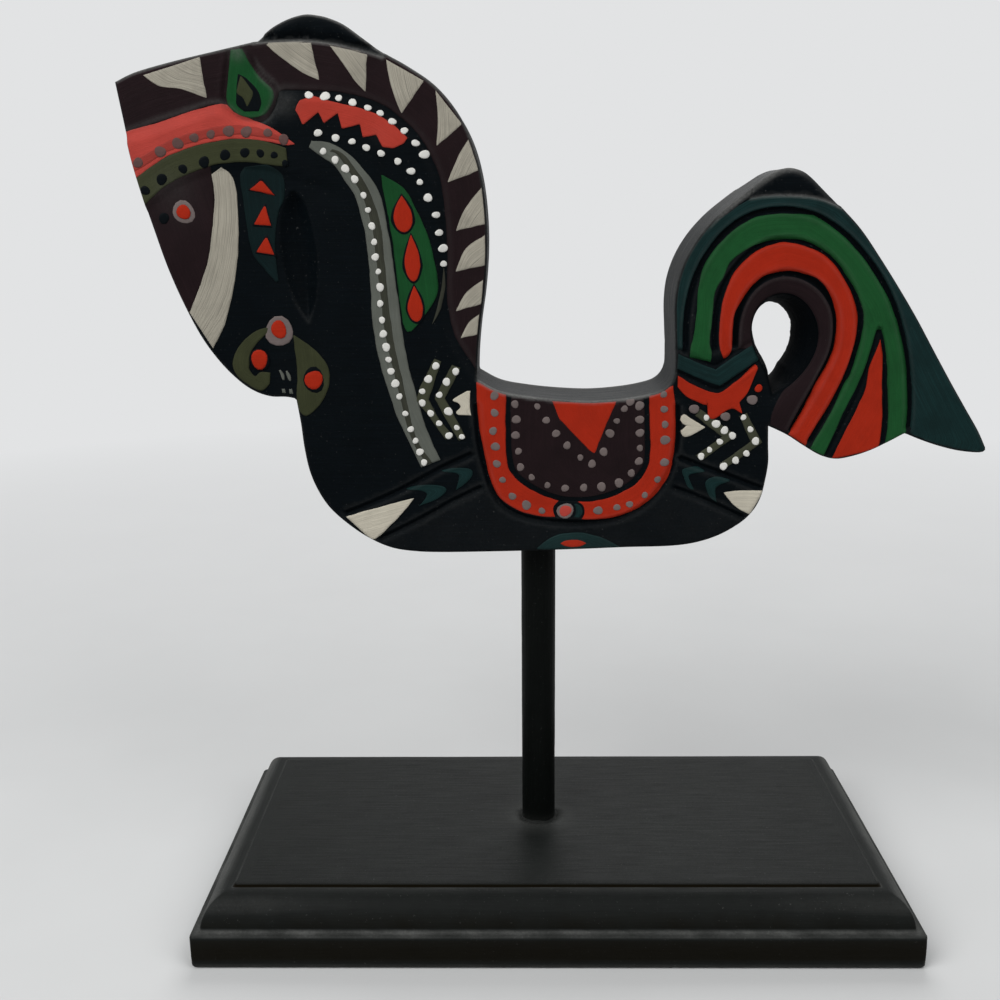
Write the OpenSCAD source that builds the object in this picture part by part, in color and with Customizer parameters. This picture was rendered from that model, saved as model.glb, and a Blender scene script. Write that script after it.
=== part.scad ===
// Painted wooden horse on a stand: one carved board on a round post, set in a moulded base board.
// Millimetres. X runs from head to tail, Y from the front to the back, Z up.
// The origin is the middle of the base board's underside.

/* [Base board] */
// Length of the base board
base_w = 300; // [240:1:400]
// Depth of the base board, front to back
base_d = 145; // [110:1:200]
// Thickness of the base board
base_t = 29; // [25:1:40]
// Height of the plain lower face of the base board
base_face_h = 15; // [10:0.5:17]
// How far the flat top stands in from the lower face
base_inset = 16; // [10:0.5:24]
// Height of the step round the flat top
base_step = 1; // [0.5:0.1:2]
// Width of the flat at the foot of that step
base_step_w = 1.5; // [0.5:0.1:3]
// Width of the ledge under the round moulding
base_ledge = 1.5; // [0.5:0.1:3]
// Rounding of the lower edge
base_edge_r = 2; // [0.5:0.1:4]

/* [Post] */
// Diameter of the post
post_d = 15; // [12:0.5:20]
// Height of the post between the base board and the belly
post_clear = 133; // [80:1:200]
// Depth of the post's socket in the base board
socket_depth = 18; // [12:0.5:19]
// Depth of the post's bore in the belly
bore_depth = 36; // [20:1:45]
// Place of the post along the base board, from its middle
post_x = -6; // [-30:1:30]
// Glue gap round the post and at its ends
glue_gap = 0.1; // [0.05:0.05:0.3]

/* [Horse] */
// Length of the horse from brow to tail tip
horse_l = 343; // [250:1:430]
// Height of the horse from belly to crest
horse_h = 211; // [150:1:260]
// Thickness of the horse's board
horse_t = 38; // [24:0.5:60]
// How far the two humps lie behind the faces
hump_recess = 3; // [1:0.5:6]
// Depth of the carved lines
carve_depth = 1.5; // [0.5:0.1:3]
// Width of the carved lines
carve_w = 2.2; // [1:0.1:3]
// Depth of the hollow in the cheek
cheek_depth = 5; // [2:0.5:8]

/* [Screw] */
// Outside diameter of the screw's thread
screw_d = 4; // [3:0.5:6]
// Length of the screw
screw_l = 38; // [30:1:60]
// Diameter of the screw's head
screw_head_d = 8; // [7:0.5:10]
// How far the head lies above the underside of the base board
screw_sink = 0.6; // [0.2:0.1:1.5]
// Clearance round the screw
screw_gap = 0.15; // [0.05:0.05:0.4]
// Rise of one turn of the thread
screw_pitch = 1.8; // [1.2:0.1:2.5]

/* [Hidden] */
$fn = 64;
over = 1;

belly_z = base_t + post_clear;
socket_floor = base_t - socket_depth;
post_foot = socket_floor + glue_gap;
post_top = belly_z + bore_depth - glue_gap;
screw_core_d = 0.72 * screw_d;
screw_head_h = (screw_head_d - screw_d) / 2 + 0.4;
screw_tip = screw_d * 1.2;
screw_neck = socket_floor - screw_sink - screw_head_h;
screw_top = screw_sink + screw_l;
screw_turns = floor((screw_l - screw_head_h - screw_neck - screw_tip) / screw_pitch);
slot_w = 0.14 * screw_head_d;
slot_l = 0.6 * screw_head_d;

// Length and height at which the outlines below are drawn
drawn_l = 343;
drawn_h = 211;

// Outline of the horse seen from the front: 0, 0 is where the post meets the belly.
// Brow, crest and mane, down to the saddle
crest_line = [
    [-161.5, 187], [-154, 190.7], [-140, 194.5], [-125, 197.5], [-112, 200.2], [-105.5, 202.6],
    [-99, 206.7], [-92.5, 209.7], [-86, 210.7], [-80, 210], [-74, 207.5], [-67, 203], [-60, 198],
    [-50, 192], [-40, 184.5], [-32, 175], [-26, 163.5], [-22, 150], [-20.3, 135], [-20.3, 121],
    [-21.5, 107], [-23.4, 94], [-24.6, 82], [-25, 72.5]
];
// Saddle, then up the inside of the tail, over its hump and down to its tip
saddle_line = [
    [-25, 72.5], [-16, 67.6], [-4, 65.2], [9, 63.8], [22, 63.2], [34, 64], [44, 65.6], [51, 68],
    [54.6, 73], [55.2, 81], [54.8, 91], [54.8, 101], [56, 110], [59, 119], [64, 127.5], [71, 135.5],
    [79, 142.3], [86, 148], [92, 152], [97.5, 153.4], [103, 151.8], [109, 147], [117, 139.5],
    [126, 130], [134, 118.7], [142, 107], [150, 95.2], [158, 82.4], [166, 69.4], [173, 58], [178, 49.6],
    [181.5, 42.4]
];
// Underside of the tail's tip
tip_line = [[181.5, 42.4], [179.5, 41.1], [172, 41.8], [164, 43.6], [156, 46.3], [149, 49.2]];
// Foot of the tail
tail_foot_line = [
    [149, 49.2], [142, 45.4], [135, 42], [128, 39.7], [121.5, 38.7], [115, 40.4], [108, 44.5],
    [101, 49], [93.5, 52.6]
];
// Rump, belly and chest, up to the chin
belly_line = [
    [93.5, 52.6], [93.8, 45], [94.2, 37.5], [93.3, 30], [91.2, 22.5], [87.5, 16.7], [82, 11.8],
    [74, 7.2], [65, 4], [54, 2.3], [36, 1.4], [18, 0.7], [0, 0.2], [-20, -0.2], [-40, -0.4], [-52, 0.1],
    [-62, 2.3], [-71, 6.6], [-79, 12.3], [-86.5, 19.2], [-91.5, 26.5], [-94.8, 35], [-96.5, 45],
    [-97.4, 55], [-98.8, 65.2]
];
// Chin, muzzle and the front of the face
face_line = [
    [-98.8, 65.2], [-103, 66.1], [-109, 66.5], [-115, 68.7], [-121, 72.8], [-128.5, 80.2], [-135.2, 90],
    [-141, 102.3], [-146, 116], [-150.4, 131], [-154.4, 146], [-157.4, 160], [-159.4, 173.5], [-161.5, 187]
];
// Eye-shaped opening inside the tail's curl, from its foot up the left side and down the right
loop_line = [
    [94.8, 65.5], [92.2, 74], [87.5, 82.5], [85.3, 91], [86.4, 98], [90.2, 103], [95.5, 105.2],
    [101.5, 104.3], [107, 100], [110.6, 93], [110.8, 85], [107.5, 77], [101.5, 70], [94.8, 65.5]
];
// Lower edges of the two humps, which lie a little behind the faces
crest_hump_line = [[-106.5, 201.4], [-98, 201.9], [-88, 201.8], [-78, 200.6], [-68, 198.3], [-59, 195.5]];
tail_hump_line = [[78, 139.5], [85, 142.2], [95, 143.2], [105, 142.6], [112, 141.2], [118, 138.2]];
// Hollow in the cheek
cheek_line = [
    [-92, 96], [-96.5, 103], [-100, 113], [-101.8, 125], [-101, 138], [-96.5, 147], [-91.5, 143],
    [-88.2, 131], [-87, 118], [-88.5, 105], [-92, 96]
];

// Carved lines: saddle cloth, breast strap, rear strap and the bands of the tail
saddle_cut = [
    [-25.5, 59], [-24.5, 48], [-22, 36], [-19, 26], [-14, 19], [-5, 14.6], [6, 12.7], [18, 12.2],
    [30, 13.5], [39, 16.8], [46, 22], [51.5, 29.5], [55, 39], [56.5, 50], [56, 59]
];
strap_cuts = [
    [[-80, 17], [-70, 21], [-60, 25.4], [-50, 30.5], [-40, 36], [-28, 41.5]],
    [[-66, 6], [-56, 10.7], [-46, 16], [-36, 21.7], [-24, 27.5]],
    [[58, 39.5], [66, 36.3], [74, 33.4], [82, 30.2], [91, 26.7]],
    [[56, 26.8], [64, 23.8], [72, 20.2], [79, 16.8], [84, 14.5]]
];
tail_cuts = [
    [
        [58.8, 84], [58.8, 96], [60.6, 108], [65, 119], [72, 128.6], [81, 135.2], [91, 137.8],
        [101, 137.4], [111, 134], [121, 127], [130, 117.5], [138, 105.5], [144, 91], [147.6, 76],
        [149.4, 62], [149.6, 52]
    ],
    [
        [70.4, 84], [70.4, 97], [73, 108.5], [79, 118], [87, 124.4], [96, 126.6], [106, 124.6],
        [115.5, 118.5], [123, 108.5], [127, 97.5], [127.2, 86], [123.6, 73], [117, 59], [110.5, 46.5]
    ],
    [
        [78.4, 86], [78.8, 96], [82, 105], [88, 111.2], [95.5, 113.8], [103.5, 112.8], [111, 108.6],
        [116.4, 101.5], [118.4, 93], [117.6, 83], [113, 72], [107.6, 61], [103, 51.5]
    ]
];

// Catmull-Rom curve through points, with n steps to each span and the last point left off
function curve(p, n) = [
    for (i = [0 : len(p) - 2])
        let (
            a = p[max(i - 1, 0)],
            b = p[i],
            c = p[i + 1],
            d = p[min(i + 2, len(p) - 1)]
        )
        for (k = [0 : n - 1])
            let (t = k / n)
            b + (c - a) * t / 2 + (a - 2.5 * b + 2 * c - d / 2) * t * t
                + (1.5 * b - a / 2 - 1.5 * c + d / 2) * t * t * t
];

// The same curve with its last point
function whole_curve(p, n) = concat(curve(p, n), [p[len(p) - 1]]);

// Drawn points at the horse's own length and height
function sized(p) = [for (q = p) [q.x * horse_l / drawn_l, q.y * horse_h / drawn_h]];

// Points shifted sideways from a curve by a distance
function beside(p, away) = [
    for (i = [0 : len(p) - 1])
        let (
            along = p[min(i + 1, len(p) - 1)] - p[max(i - 1, 0)],
            side = [-along.y, along.x] / norm(along)
        )
        p[i] + away * side
];

// A ribbon of constant width along a curve
function ribbon(p, w) =
    let (other = beside(p, -w / 2))
    concat(beside(p, w / 2), [for (i = [len(other) - 1 : -1 : 0]) other[i]]);

// Quarter of an ellipse about c, from angle a to angle b
function quarter(c, rx, ry, a, b, n = 8) = [
    for (k = [0 : n])
        let (g = a + (b - a) * k / n)
        [c.x + rx * cos(g), c.y + ry * sin(g)]
];

// Section of the base board across a side of width w: plain face, ledge, quarter round, step and flat
function right_half(w) =
    let (
        out = w / 2,
        round_w = base_inset - base_step_w - base_ledge,
        round_h = base_t - base_step - base_face_h,
        top = out - base_inset
    )
    concat(
        quarter([out - base_edge_r, base_edge_r], base_edge_r, base_edge_r, -90, 0, 4),
        quarter([out - base_ledge / 2, base_face_h - base_ledge / 2], base_ledge / 2, base_ledge / 2, 0, 90, 3),
        quarter([top + base_step_w, base_face_h], round_w, round_h, 0, 90),
        [[top, base_t - base_step], [top, base_t]]
    );

function base_section(w) =
    let (half = right_half(w))
    concat(half, [for (i = [len(half) - 1 : -1 : 0]) [-half[i].x, half[i].y]]);

// Profile of a countersunk wood screw on its axis, from the head's face to the point
function screw_profile() =
    let (
        head_r = screw_head_d / 2,
        thread_r = screw_d / 2,
        core_r = screw_core_d / 2,
        shank_end = screw_head_h + screw_neck,
        thread_end = shank_end + screw_turns * screw_pitch
    )
    concat(
        [[0, 0], [head_r, 0], [head_r, 0.4], [thread_r, screw_head_h], [thread_r, shank_end]],
        [
            for (i = [0 : screw_turns - 1])
                for (q = [[core_r, 0.15], [core_r, 0.55], [thread_r, 0.8], [thread_r, 0.95]])
                    [q.x, shank_end + (i + q.y) * screw_pitch]
        ],
        [[core_r, thread_end], [0, screw_l]]
    );

module base_board() {
    hole_r = screw_d / 2 + screw_gap;
    sink_r = screw_head_d / 2 + screw_gap;
    sink_top = screw_sink + screw_head_h;
    color("#2b2c2c")
    difference() {
        intersection() {
            rotate([90, 0, 90])
                linear_extrude(base_w, center = true)
                    polygon(base_section(base_d));
            rotate([90, 0, 0])
                linear_extrude(base_d, center = true)
                    polygon(base_section(base_w));
        }
        translate([post_x, 0, 0]) {
            translate([0, 0, socket_floor])
                cylinder(d = post_d + 2 * glue_gap, h = socket_depth + over);
            translate([0, 0, -over])
                cylinder(r = hole_r, h = socket_floor + 2 * over);
            rotate_extrude()
                polygon([
                    [0, -over], [sink_r, -over], [sink_r, screw_sink + 0.4 + screw_gap],
                    [hole_r, sink_top + screw_gap], [0, sink_top + screw_gap]
                ]);
        }
    }
}

module post() {
    pilot_top = screw_top + screw_gap;
    color("#20231f")
    translate([post_x, 0, 0])
    difference() {
        translate([0, 0, post_foot])
            cylinder(d = post_d, h = post_top - post_foot);
        translate([0, 0, post_foot - over])
            cylinder(d = screw_d + 2 * screw_gap, h = pilot_top - post_foot + over);
    }
}

// A flat shape cut to a depth into both faces of the board
module both_faces(depth) {
    for (side = [0, 1])
        mirror([0, 0, side])
            translate([0, 0, horse_t / 2 - depth])
                linear_extrude(depth + over)
                    children();
}

// The board's outline, closed from its six stretches, with the opening in the tail's curl
module board_outline() {
    steps = 4;
    stretches = [crest_line, saddle_line, tip_line, tail_foot_line, belly_line, face_line];
    difference() {
        polygon(sized([for (s = stretches) each curve(s, steps)]));
        polygon(sized(curve(loop_line, steps)));
    }
}

// Everything above the lower edge of a hump, as far as the board reaches there
module hump_area(edge, rise) {
    line = whole_curve(edge, 3);
    last = line[len(line) - 1];
    polygon(sized(concat(line, [last + [0, rise], line[0] + [0, rise]])));
}

module carved_lines() {
    steps = 3;
    for (line = concat([saddle_cut], strap_cuts, tail_cuts))
        polygon(ribbon(sized(whole_curve(line, steps)), carve_w));
}

module horse_body() {
    hump_rise = 20;
    color("#10161b")
    translate([post_x, 0, belly_z])
    difference() {
        rotate([90, 0, 0])
        difference() {
            linear_extrude(horse_t, center = true)
                board_outline();
            both_faces(hump_recess) {
                hump_area(crest_hump_line, hump_rise);
                hump_area(tail_hump_line, hump_rise);
            }
            both_faces(cheek_depth)
                polygon(sized(curve(cheek_line, 3)));
            both_faces(carve_depth)
                carved_lines();
        }
        translate([0, 0, -post_clear / 2])
            cylinder(d = post_d + 2 * glue_gap, h = bore_depth + post_clear / 2);
    }
}

module base_screw() {
    color("silver")
    translate([post_x, 0, screw_sink])
    difference() {
        rotate_extrude()
            polygon(screw_profile());
        for (turn = [0, 90])
            rotate([0, 0, turn])
                cube([slot_l, slot_w, screw_head_h], center = true);
    }
}

base_board();
post();
horse_body();
base_screw();
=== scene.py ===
"""Looks of a painted wooden horse on a stand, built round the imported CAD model.

Plane points are pairs (u, w) in millimetres on the front of the horse's board, seen from the front:
u runs from head to tail, w runs up, and 0, 0 is where the post meets the belly.
"""

import bmesh
import bpy
import numpy as np
from mathutils import Matrix, Vector
from mathutils.geometry import delaunay_2d_cdt


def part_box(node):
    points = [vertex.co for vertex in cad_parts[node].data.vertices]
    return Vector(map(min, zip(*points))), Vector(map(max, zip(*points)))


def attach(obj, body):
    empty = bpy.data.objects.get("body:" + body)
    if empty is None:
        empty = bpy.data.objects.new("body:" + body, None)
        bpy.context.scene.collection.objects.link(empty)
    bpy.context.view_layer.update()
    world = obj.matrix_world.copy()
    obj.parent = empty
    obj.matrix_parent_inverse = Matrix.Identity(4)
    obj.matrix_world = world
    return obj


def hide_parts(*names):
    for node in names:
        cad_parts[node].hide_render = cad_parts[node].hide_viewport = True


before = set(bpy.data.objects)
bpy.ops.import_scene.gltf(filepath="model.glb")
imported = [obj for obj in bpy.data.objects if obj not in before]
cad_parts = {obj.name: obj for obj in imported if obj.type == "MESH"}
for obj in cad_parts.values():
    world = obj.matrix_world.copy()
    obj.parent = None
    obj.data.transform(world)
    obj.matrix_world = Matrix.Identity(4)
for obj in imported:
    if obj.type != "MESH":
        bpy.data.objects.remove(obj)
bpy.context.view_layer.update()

bl_info = {
    "name": "Painted Horse on a Stand",
    "version": (1, 0, 0),
    "blender": (4, 5, 0),
    "location": "View3D > Sidebar > Horse",
    "description": "Builds a carved and painted wooden horse, its post and its moulded base",
    "category": "Add Mesh",
}

MM = 0.001
POST_LOW, POST_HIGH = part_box("post")
HORSE_LOW, HORSE_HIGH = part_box("horse_body")
BASE_LOW, BASE_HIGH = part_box("base_board")
SCREW_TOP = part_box("base_screw")[1].z / MM
POST_R = (POST_HIGH.x - POST_LOW.x) / 2 / MM
BASE_TOP = BASE_HIGH.z / MM
# Points handled at a time by the distance tests
CHUNK = 3000

# Outline of the board in six stretches: brow and crest, saddle and tail, tip, tail foot, belly, face
CREST_LINE = [
    (-162.3, 187.9), (-154.2, 191.4), (-140.1, 195), (-125, 198.2), (-112, 200.9), (-107.6, 202),
    (-105.2, 204.2), (-101.5, 207), (-97, 209.3), (-92.5, 210.9), (-88, 211.7), (-84, 211.3),
    (-80, 210.4), (-74, 207.9), (-67, 203), (-60, 198), (-49.8, 192.4), (-39.4, 185.3), (-31, 175.5),
    (-25.2, 163.8), (-21.8, 150), (-20.3, 135), (-20.3, 121),
    (-21.5, 107), (-23.4, 94), (-24.6, 82), (-25, 72.5),
]
SADDLE_LINE = [
    (-25, 72.5), (-16, 67.6), (-4, 65.2), (9, 63.8), (22, 63.2), (34, 64), (44, 65.6), (51, 68),
    (54.6, 73), (55, 81), (54.5, 91), (54.1, 101), (55, 110.4), (58, 119.6), (63.1, 128.3), (70.2, 136.3),
    (78.4, 143), (86, 148.4), (92, 152.2), (97.5, 153.8), (103, 152.5), (107, 149.7), (110.5, 146.3),
    (117, 139.5), (126, 130.2), (134.4, 119), (142.5, 107.4), (150.4, 95.4), (158.2, 82.5), (166.2, 69.5),
    (173.4, 58.2), (178.7, 49.9), (182.5, 42.4),
]
TIP_LINE = [(182.5, 42.4), (180.3, 41), (172, 41.7), (164, 43.6), (156, 46.3), (149, 49.2)]
TAIL_FOOT_LINE = [
    (149, 49.2), (142, 45.4), (135, 42), (128, 39.7), (121.5, 38.7), (115, 40.4), (108, 44.5),
    (101, 49), (93.5, 52.6),
]
BELLY_LINE = [
    (93.5, 52.6), (93.8, 45), (94.2, 37.5), (93.3, 30), (91.6, 22.2), (88.2, 16.1), (82.7, 11),
    (74.5, 6.3), (65, 3.2), (54, 1.8), (36, 1.4), (18, 0.7), (0, 0.2), (-20, -0.2), (-40, -0.4),
    (-52, 0.1), (-62, 1.8), (-71.3, 6.1), (-79.4, 11.8), (-86.9, 18.9), (-91.6, 26.4), (-94.8, 35),
    (-96.5, 45), (-97.4, 55), (-98.8, 65.2),
]
FACE_LINE = [
    (-98.8, 65.2), (-103, 66), (-109, 66.2), (-115.3, 68.3), (-121.4, 72.5), (-128.6, 80.1), (-135.3, 90),
    (-141.2, 102.4), (-146.5, 116.2), (-151.2, 131.2), (-155.3, 146.2), (-158.4, 160.2), (-160.3, 173.6),
    (-162.3, 187.9),
]
BELLY_LOW = -0.4
# Opening inside the tail's curl
LOOP_LINE = [
    (94.8, 65.5), (92.2, 74), (87.5, 82.5), (85.3, 91), (86.4, 98), (90.2, 103), (95.5, 105.2),
    (101.5, 104.3), (107, 100), (110.6, 93), (110.8, 85), (107.5, 77), (101.5, 70), (94.8, 65.5),
]
# Lower edges of the two humps, which lie a little behind the faces
CREST_HUMP = [(-108, 201.2), (-98, 201.9), (-88, 201.8), (-78, 200.6), (-68, 198.3), (-59, 195.5)]
TAIL_HUMP = [(82.6, 142.4), (88, 143.1), (96, 143.3), (104, 142.8), (111, 141.4), (117.5, 138.4)]
# How far from its start each hump reaches its full recess, how pale its foot is and how wide its pale
# upper edge, both pale with dusty wear and painted highlight
HUMP_STARTS = (4, 6)
HUMP_FEET = (1.2, 0.8)
HUMP_EDGES = (1.5, 2.6)
# Hollow in the cheek
CHEEK_LINE = [
    (-92, 96), (-96.5, 103), (-100, 113), (-101.8, 125), (-101, 138), (-96.5, 147), (-91.5, 143),
    (-88.2, 131), (-87, 118), (-88.5, 105), (-92, 96),
]
# Dusty spots on the faces: middle, reach and strength
DUSTY_SPOTS = [(-97, 179, 4.5, 0.26), (-114.5, 198, 3, 0.4), (-143, 148, 10, 0.12), (-60, 168, 5, 0.06)]
# Line along which the mane and the forehead drop below the neck
MANE_LINE = [
    (-160.5, 168.5), (-147.3, 172.5), (-133.6, 176.6), (-124.5, 179), (-119.5, 177.5), (-114, 173),
    (-106, 173), (-101.5, 178), (-99, 183.6), (-90, 184), (-80, 183.5), (-70, 182), (-60, 178.5),
    (-52, 173), (-45, 165.5), (-40, 156), (-37.5, 147), (-36.5, 135), (-36, 122), (-36.5, 110),
    (-36, 100), (-33.5, 90), (-29, 82), (-24.4, 75),
]
# Line along which the face drops below the cheek band
BROW_LINE = [
    (-155, 141), (-149, 146), (-141, 151), (-129, 155.6), (-119, 157.3), (-111, 157.3),
    (-102.7, 156.2), (-96, 154),
]
SADDLE_CUT = [
    (-25.5, 62), (-24.5, 48), (-22, 36), (-19, 26), (-14, 19), (-5, 14.6), (6, 12.7), (18, 12.2),
    (30, 13.5), (39, 16.8), (46, 22), (51.5, 29.5), (55, 39), (56.5, 50), (56, 61),
]
STRAP_CUTS = [
    [(-80, 17), (-70, 21), (-60, 25.4), (-50, 30.5), (-40, 36), (-28, 41.5)],
    [(-66, 6), (-56, 10.7), (-46, 16), (-36, 21.7), (-24, 27.5)],
    [(58, 39.5), (66, 36.3), (74, 33.4), (82, 30.2), (91, 26.7)],
    [(56, 26.8), (64, 23.8), (72, 20.2), (79, 16.8), (84, 14.5)],
]
TAIL_CUTS = [
    [
        (58.8, 84), (58.8, 96), (60.6, 108), (65, 119), (72, 128.6), (81, 135.2), (91, 137.8),
        (101, 137.4), (111, 134), (121, 127), (130, 117.5), (138, 105.5), (144, 91), (147.6, 76),
        (149.4, 62), (149.6, 52),
    ],
    [
        (70.4, 84), (70.4, 97), (73, 108.5), (79, 118), (87, 124.4), (96, 126.6), (106, 124.6),
        (115.5, 118.5), (123, 108.5), (127, 97.5), (127.2, 86), (123.6, 73), (117, 59), (110.5, 46.5),
    ],
    [
        (78.4, 86), (78.8, 96), (82, 105), (88, 111.2), (95.5, 113.8), (103.5, 112.8), (111, 108.6),
        (116.4, 101.5), (118.4, 93), (117.6, 83), (113, 72), (107.6, 61), (103, 51.5),
    ],
]
# Finer cuts round the ear, at the tail's root and in its split
FINE_CUTS = [
    [(-117.5, 198), (-119.6, 188), (-120.5, 180), (-116.5, 174.8), (-110, 173), (-104.5, 174.6),
     (-100.8, 180), (-100.6, 184.5), (-106.4, 190.6), (-112, 199.2)],
    [(55.8, 75), (63, 71.6), (72, 68), (80, 72.8), (88.5, 79)],
    [(55.6, 84.3), (63, 80.6), (71, 77.6), (78, 82.6), (84.5, 86.4)],
    [(135.2, 91.5), (132.6, 80), (129.4, 68), (125.4, 58), (120.5, 47), (117.4, 40.6)],
    [(135.8, 91.5), (138.2, 80), (139.6, 68), (140.2, 56), (139.8, 45.5)],
]


def paint(label, words, red, green, blue):
    """A colour property that holds display values, given from 0 to 255."""
    return bpy.props.FloatVectorProperty(
        name=label, description=words, subtype="COLOR_GAMMA", size=3, min=0, max=1,
        default=(red / 255, green / 255, blue / 255),
    )


def amount(label, words, value, unit="NONE"):
    """An amount that isn't negative."""
    return bpy.props.FloatProperty(name=label, description=words, default=value, min=0, unit=unit)


def depth(label, words, metres):
    """A length property in metres."""
    return amount(label, words, metres, "LENGTH")


class HorseShape(bpy.types.PropertyGroup):
    """Depths of the carving on both faces of the board."""

    edge_round: depth("Edge rounding", "Radius of the rounding along the board's edges", 0.0012)
    mane_drop: depth("Mane drop", "How far the mane lies below the neck", 0.0017)
    mane_slope: depth("Mane slope", "Width of the slope from the neck to the mane", 0.0045)
    brow_drop: depth("Brow drop", "How far the face lies below the cheek band", 0.0009)
    cut_depth: depth("Cut depth", "Depth of the V-shaped cuts", 0.0015)
    cut_half: depth("Cut half width", "Half the width of the V-shaped cuts", 0.0016)
    cheek_depth: depth("Cheek depth", "Depth of the hollow in the cheek", 0.005)
    hump_recess: depth("Hump recess", "How far the humps lie behind the faces", 0.003)
    hole_swell: depth("Hole swell", "How far the opening's wall stands out half-way through", 0.0058)
    paint_film: depth("Paint film", "Thickness of one coat of brushed paint", 0.00022)


class StandShape(bpy.types.PropertyGroup):
    """Small sizes of the base and the post."""

    corner_round: depth("Corner rounding", "Rounding of the base board's upright corners", 0.0017)
    bead_width: depth("Glue bead", "Width of the bead of glue round the foot of the post", 0.0015)
    unevenness: depth("Unevenness", "How far the brushed surfaces wander from true", 0.00012)


class HorseColours(bpy.types.PropertyGroup):
    """Colours of the paints and the metal."""

    ground: paint("Ground", "Blue-black ground of the board", 6, 10, 13)
    # Pale grey for dusty wear and for painted highlight and sheen on the board's edges and walls
    dust_and_painted_light: paint("Rubbed edge", "Dusty grey where edges are rubbed", 120, 120, 118)
    maroon: paint("Maroon", "Brown-black of mane, face and saddle panel", 28, 19, 21)
    cream: paint("Cream", "Cream of teeth, blaze, wedges and bow", 158, 153, 140)
    white: paint("White", "White of the raised dabs", 209, 208, 203)
    red: paint("Red", "Vermilion of saddle and tail", 153, 38, 20)
    rose: paint("Faded red", "Paler red of the brow", 167, 63, 55)
    green: paint("Green", "Leaf green of tail, leaf and ear", 21, 64, 33)
    teal: paint("Teal", "Dark teal of tail edge and cheek", 17, 36, 36)
    olive: paint("Olive", "Olive of cheek band, mouth and chevrons", 52, 55, 37)
    grey: paint("Grey", "Grey of the neck strap", 88, 91, 85)
    stud: paint("Stud grey", "Warm grey of the flat dots", 105, 95, 93)
    base: paint("Base", "Brushed black of the base", 22, 24, 23)
    # Pale grey for dusty wear on the stand and for painted highlight along the base's ledge
    dust_and_sheen: paint("Dust", "Dust on the stand", 98, 99, 97)
    # Painted shade of the base: its front step, the foot of its front's round and its plain face
    seam: paint("Seam", "Dark line of the base's step", 13, 9, 2)
    post: paint("Post", "Brushed black of the post", 8, 10, 9)
    steel: paint("Steel", "Zinc-plated steel of the screw", 170, 172, 175)


class StageLook(bpy.types.PropertyGroup):
    """Colour and light of the plain stage."""

    floor: paint("Floor", "Pale floor", 204, 205, 205)
    sky: paint("Surround", "Pale surround", 226, 227, 228)
    sky_level: amount("Surround level", "Light from all round", 0.3)
    key_power: amount("Key lamp", "Lamp at the upper left", 21, "POWER")
    fill_power: amount("Fill lamp", "Lamp at the upper right", 11, "POWER")
    back_power: amount("Back lamp", "Lamp behind and above", 13, "POWER")


def settings():
    """The four groups of settings: horse, stand, colours, stage."""
    scene = bpy.context.scene
    return scene.horse_shape, scene.stand_shape, scene.horse_colours, scene.stage_look


def spline(points, parts=8):
    """Catmull-Rom curve: each span is the cubic through its two ends that leaves along their
    neighbours."""
    p = np.asarray(points, float)
    a = np.vstack([p[:1], p[:-2]])[:, None]
    b = p[:-1, None]
    c = p[1:, None]
    d = np.vstack([p[2:], p[-1:]])[:, None]
    t = (np.arange(parts) / parts)[None, :, None]
    square = (a - 2.5 * b + 2 * c - d / 2) * t**2
    cube = (1.5 * b - a / 2 - 1.5 * c + d / 2) * t**3
    span = b + (c - a) * t / 2 + square + cube
    return np.vstack([span.reshape(-1, 2), p[-1:]])


def run_length(line):
    """Length along a line up to each of its points."""
    return np.concatenate([[0], np.cumsum(np.linalg.norm(np.diff(line, axis=0), axis=1))])


def at_fractions(line, fractions):
    """Points of a line at fractions of its length."""
    run = run_length(line)
    at = np.asarray(fractions) * run[-1]
    return np.stack([np.interp(at, run, line[:, 0]), np.interp(at, run, line[:, 1])], -1)


def even(line, step):
    """A line laid out again with points about a step apart."""
    count = max(int(round(run_length(line)[-1] / step)), 2)
    return at_fractions(line, np.linspace(0, 1, count + 1))


def nearest(points, line, reach=1e9):
    """Distance from each point to a line, the nearest point on it and the line's left-hand normal there.
    Each segment is tested by dropping a perpendicular and clipping it to the segment's ends."""
    best = np.full(len(points), reach, float)
    foot = np.array(points, float)
    side = np.zeros((len(points), 2))
    low = line.min(0) - reach
    high = line.max(0) + reach
    close = np.flatnonzero(((points > low) & (points < high)).all(1))
    start = line[:-1]
    step = line[1:] - start
    size = np.maximum((step**2).sum(1), 1e-12)
    for block in np.array_split(close, max(len(close) // CHUNK, 1)):
        if len(block) == 0:
            continue
        q = points[block][:, None]
        t = np.clip(((q - start) * step).sum(2) / size, 0, 1)
        on = start + t[..., None] * step
        gap = ((q - on) ** 2).sum(2)
        pick = gap.argmin(1)
        row = np.arange(len(block))
        found = np.sqrt(gap[row, pick])
        nearer = found < best[block]
        chosen = block[nearer]
        best[chosen] = found[nearer]
        foot[chosen] = on[row, pick][nearer]
        run = step[pick] / np.sqrt(size[pick])[:, None]
        side[chosen] = np.stack([-run[:, 1], run[:, 0]], 1)[nearer]
    return best, foot, side


def inside(points, area):
    """True for points inside a closed area: a level ray from the point crosses its border an odd number
    of times."""
    hit = np.zeros(len(points), bool)
    a = area
    b = np.roll(area, -1, 0)
    rise = np.where(b[:, 1] == a[:, 1], 1e-9, b[:, 1] - a[:, 1])
    for block in np.array_split(np.arange(len(points)), max(len(points) // CHUNK, 1)):
        q = points[block][:, None]
        spans = (a[:, 1] > q[..., 1]) != (b[:, 1] > q[..., 1])
        cross = a[:, 0] + (q[..., 1] - a[:, 1]) * (b[:, 0] - a[:, 0]) / rise
        hit[block] = (spans & (q[..., 0] < cross)).sum(1) % 2 == 1
    return hit


def ramp(x, low, high):
    """Smooth rise from 0 at low to 1 at high."""
    t = np.clip((x - low) / (high - low), 0, 1)
    return t * t * (3 - 2 * t)


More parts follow.
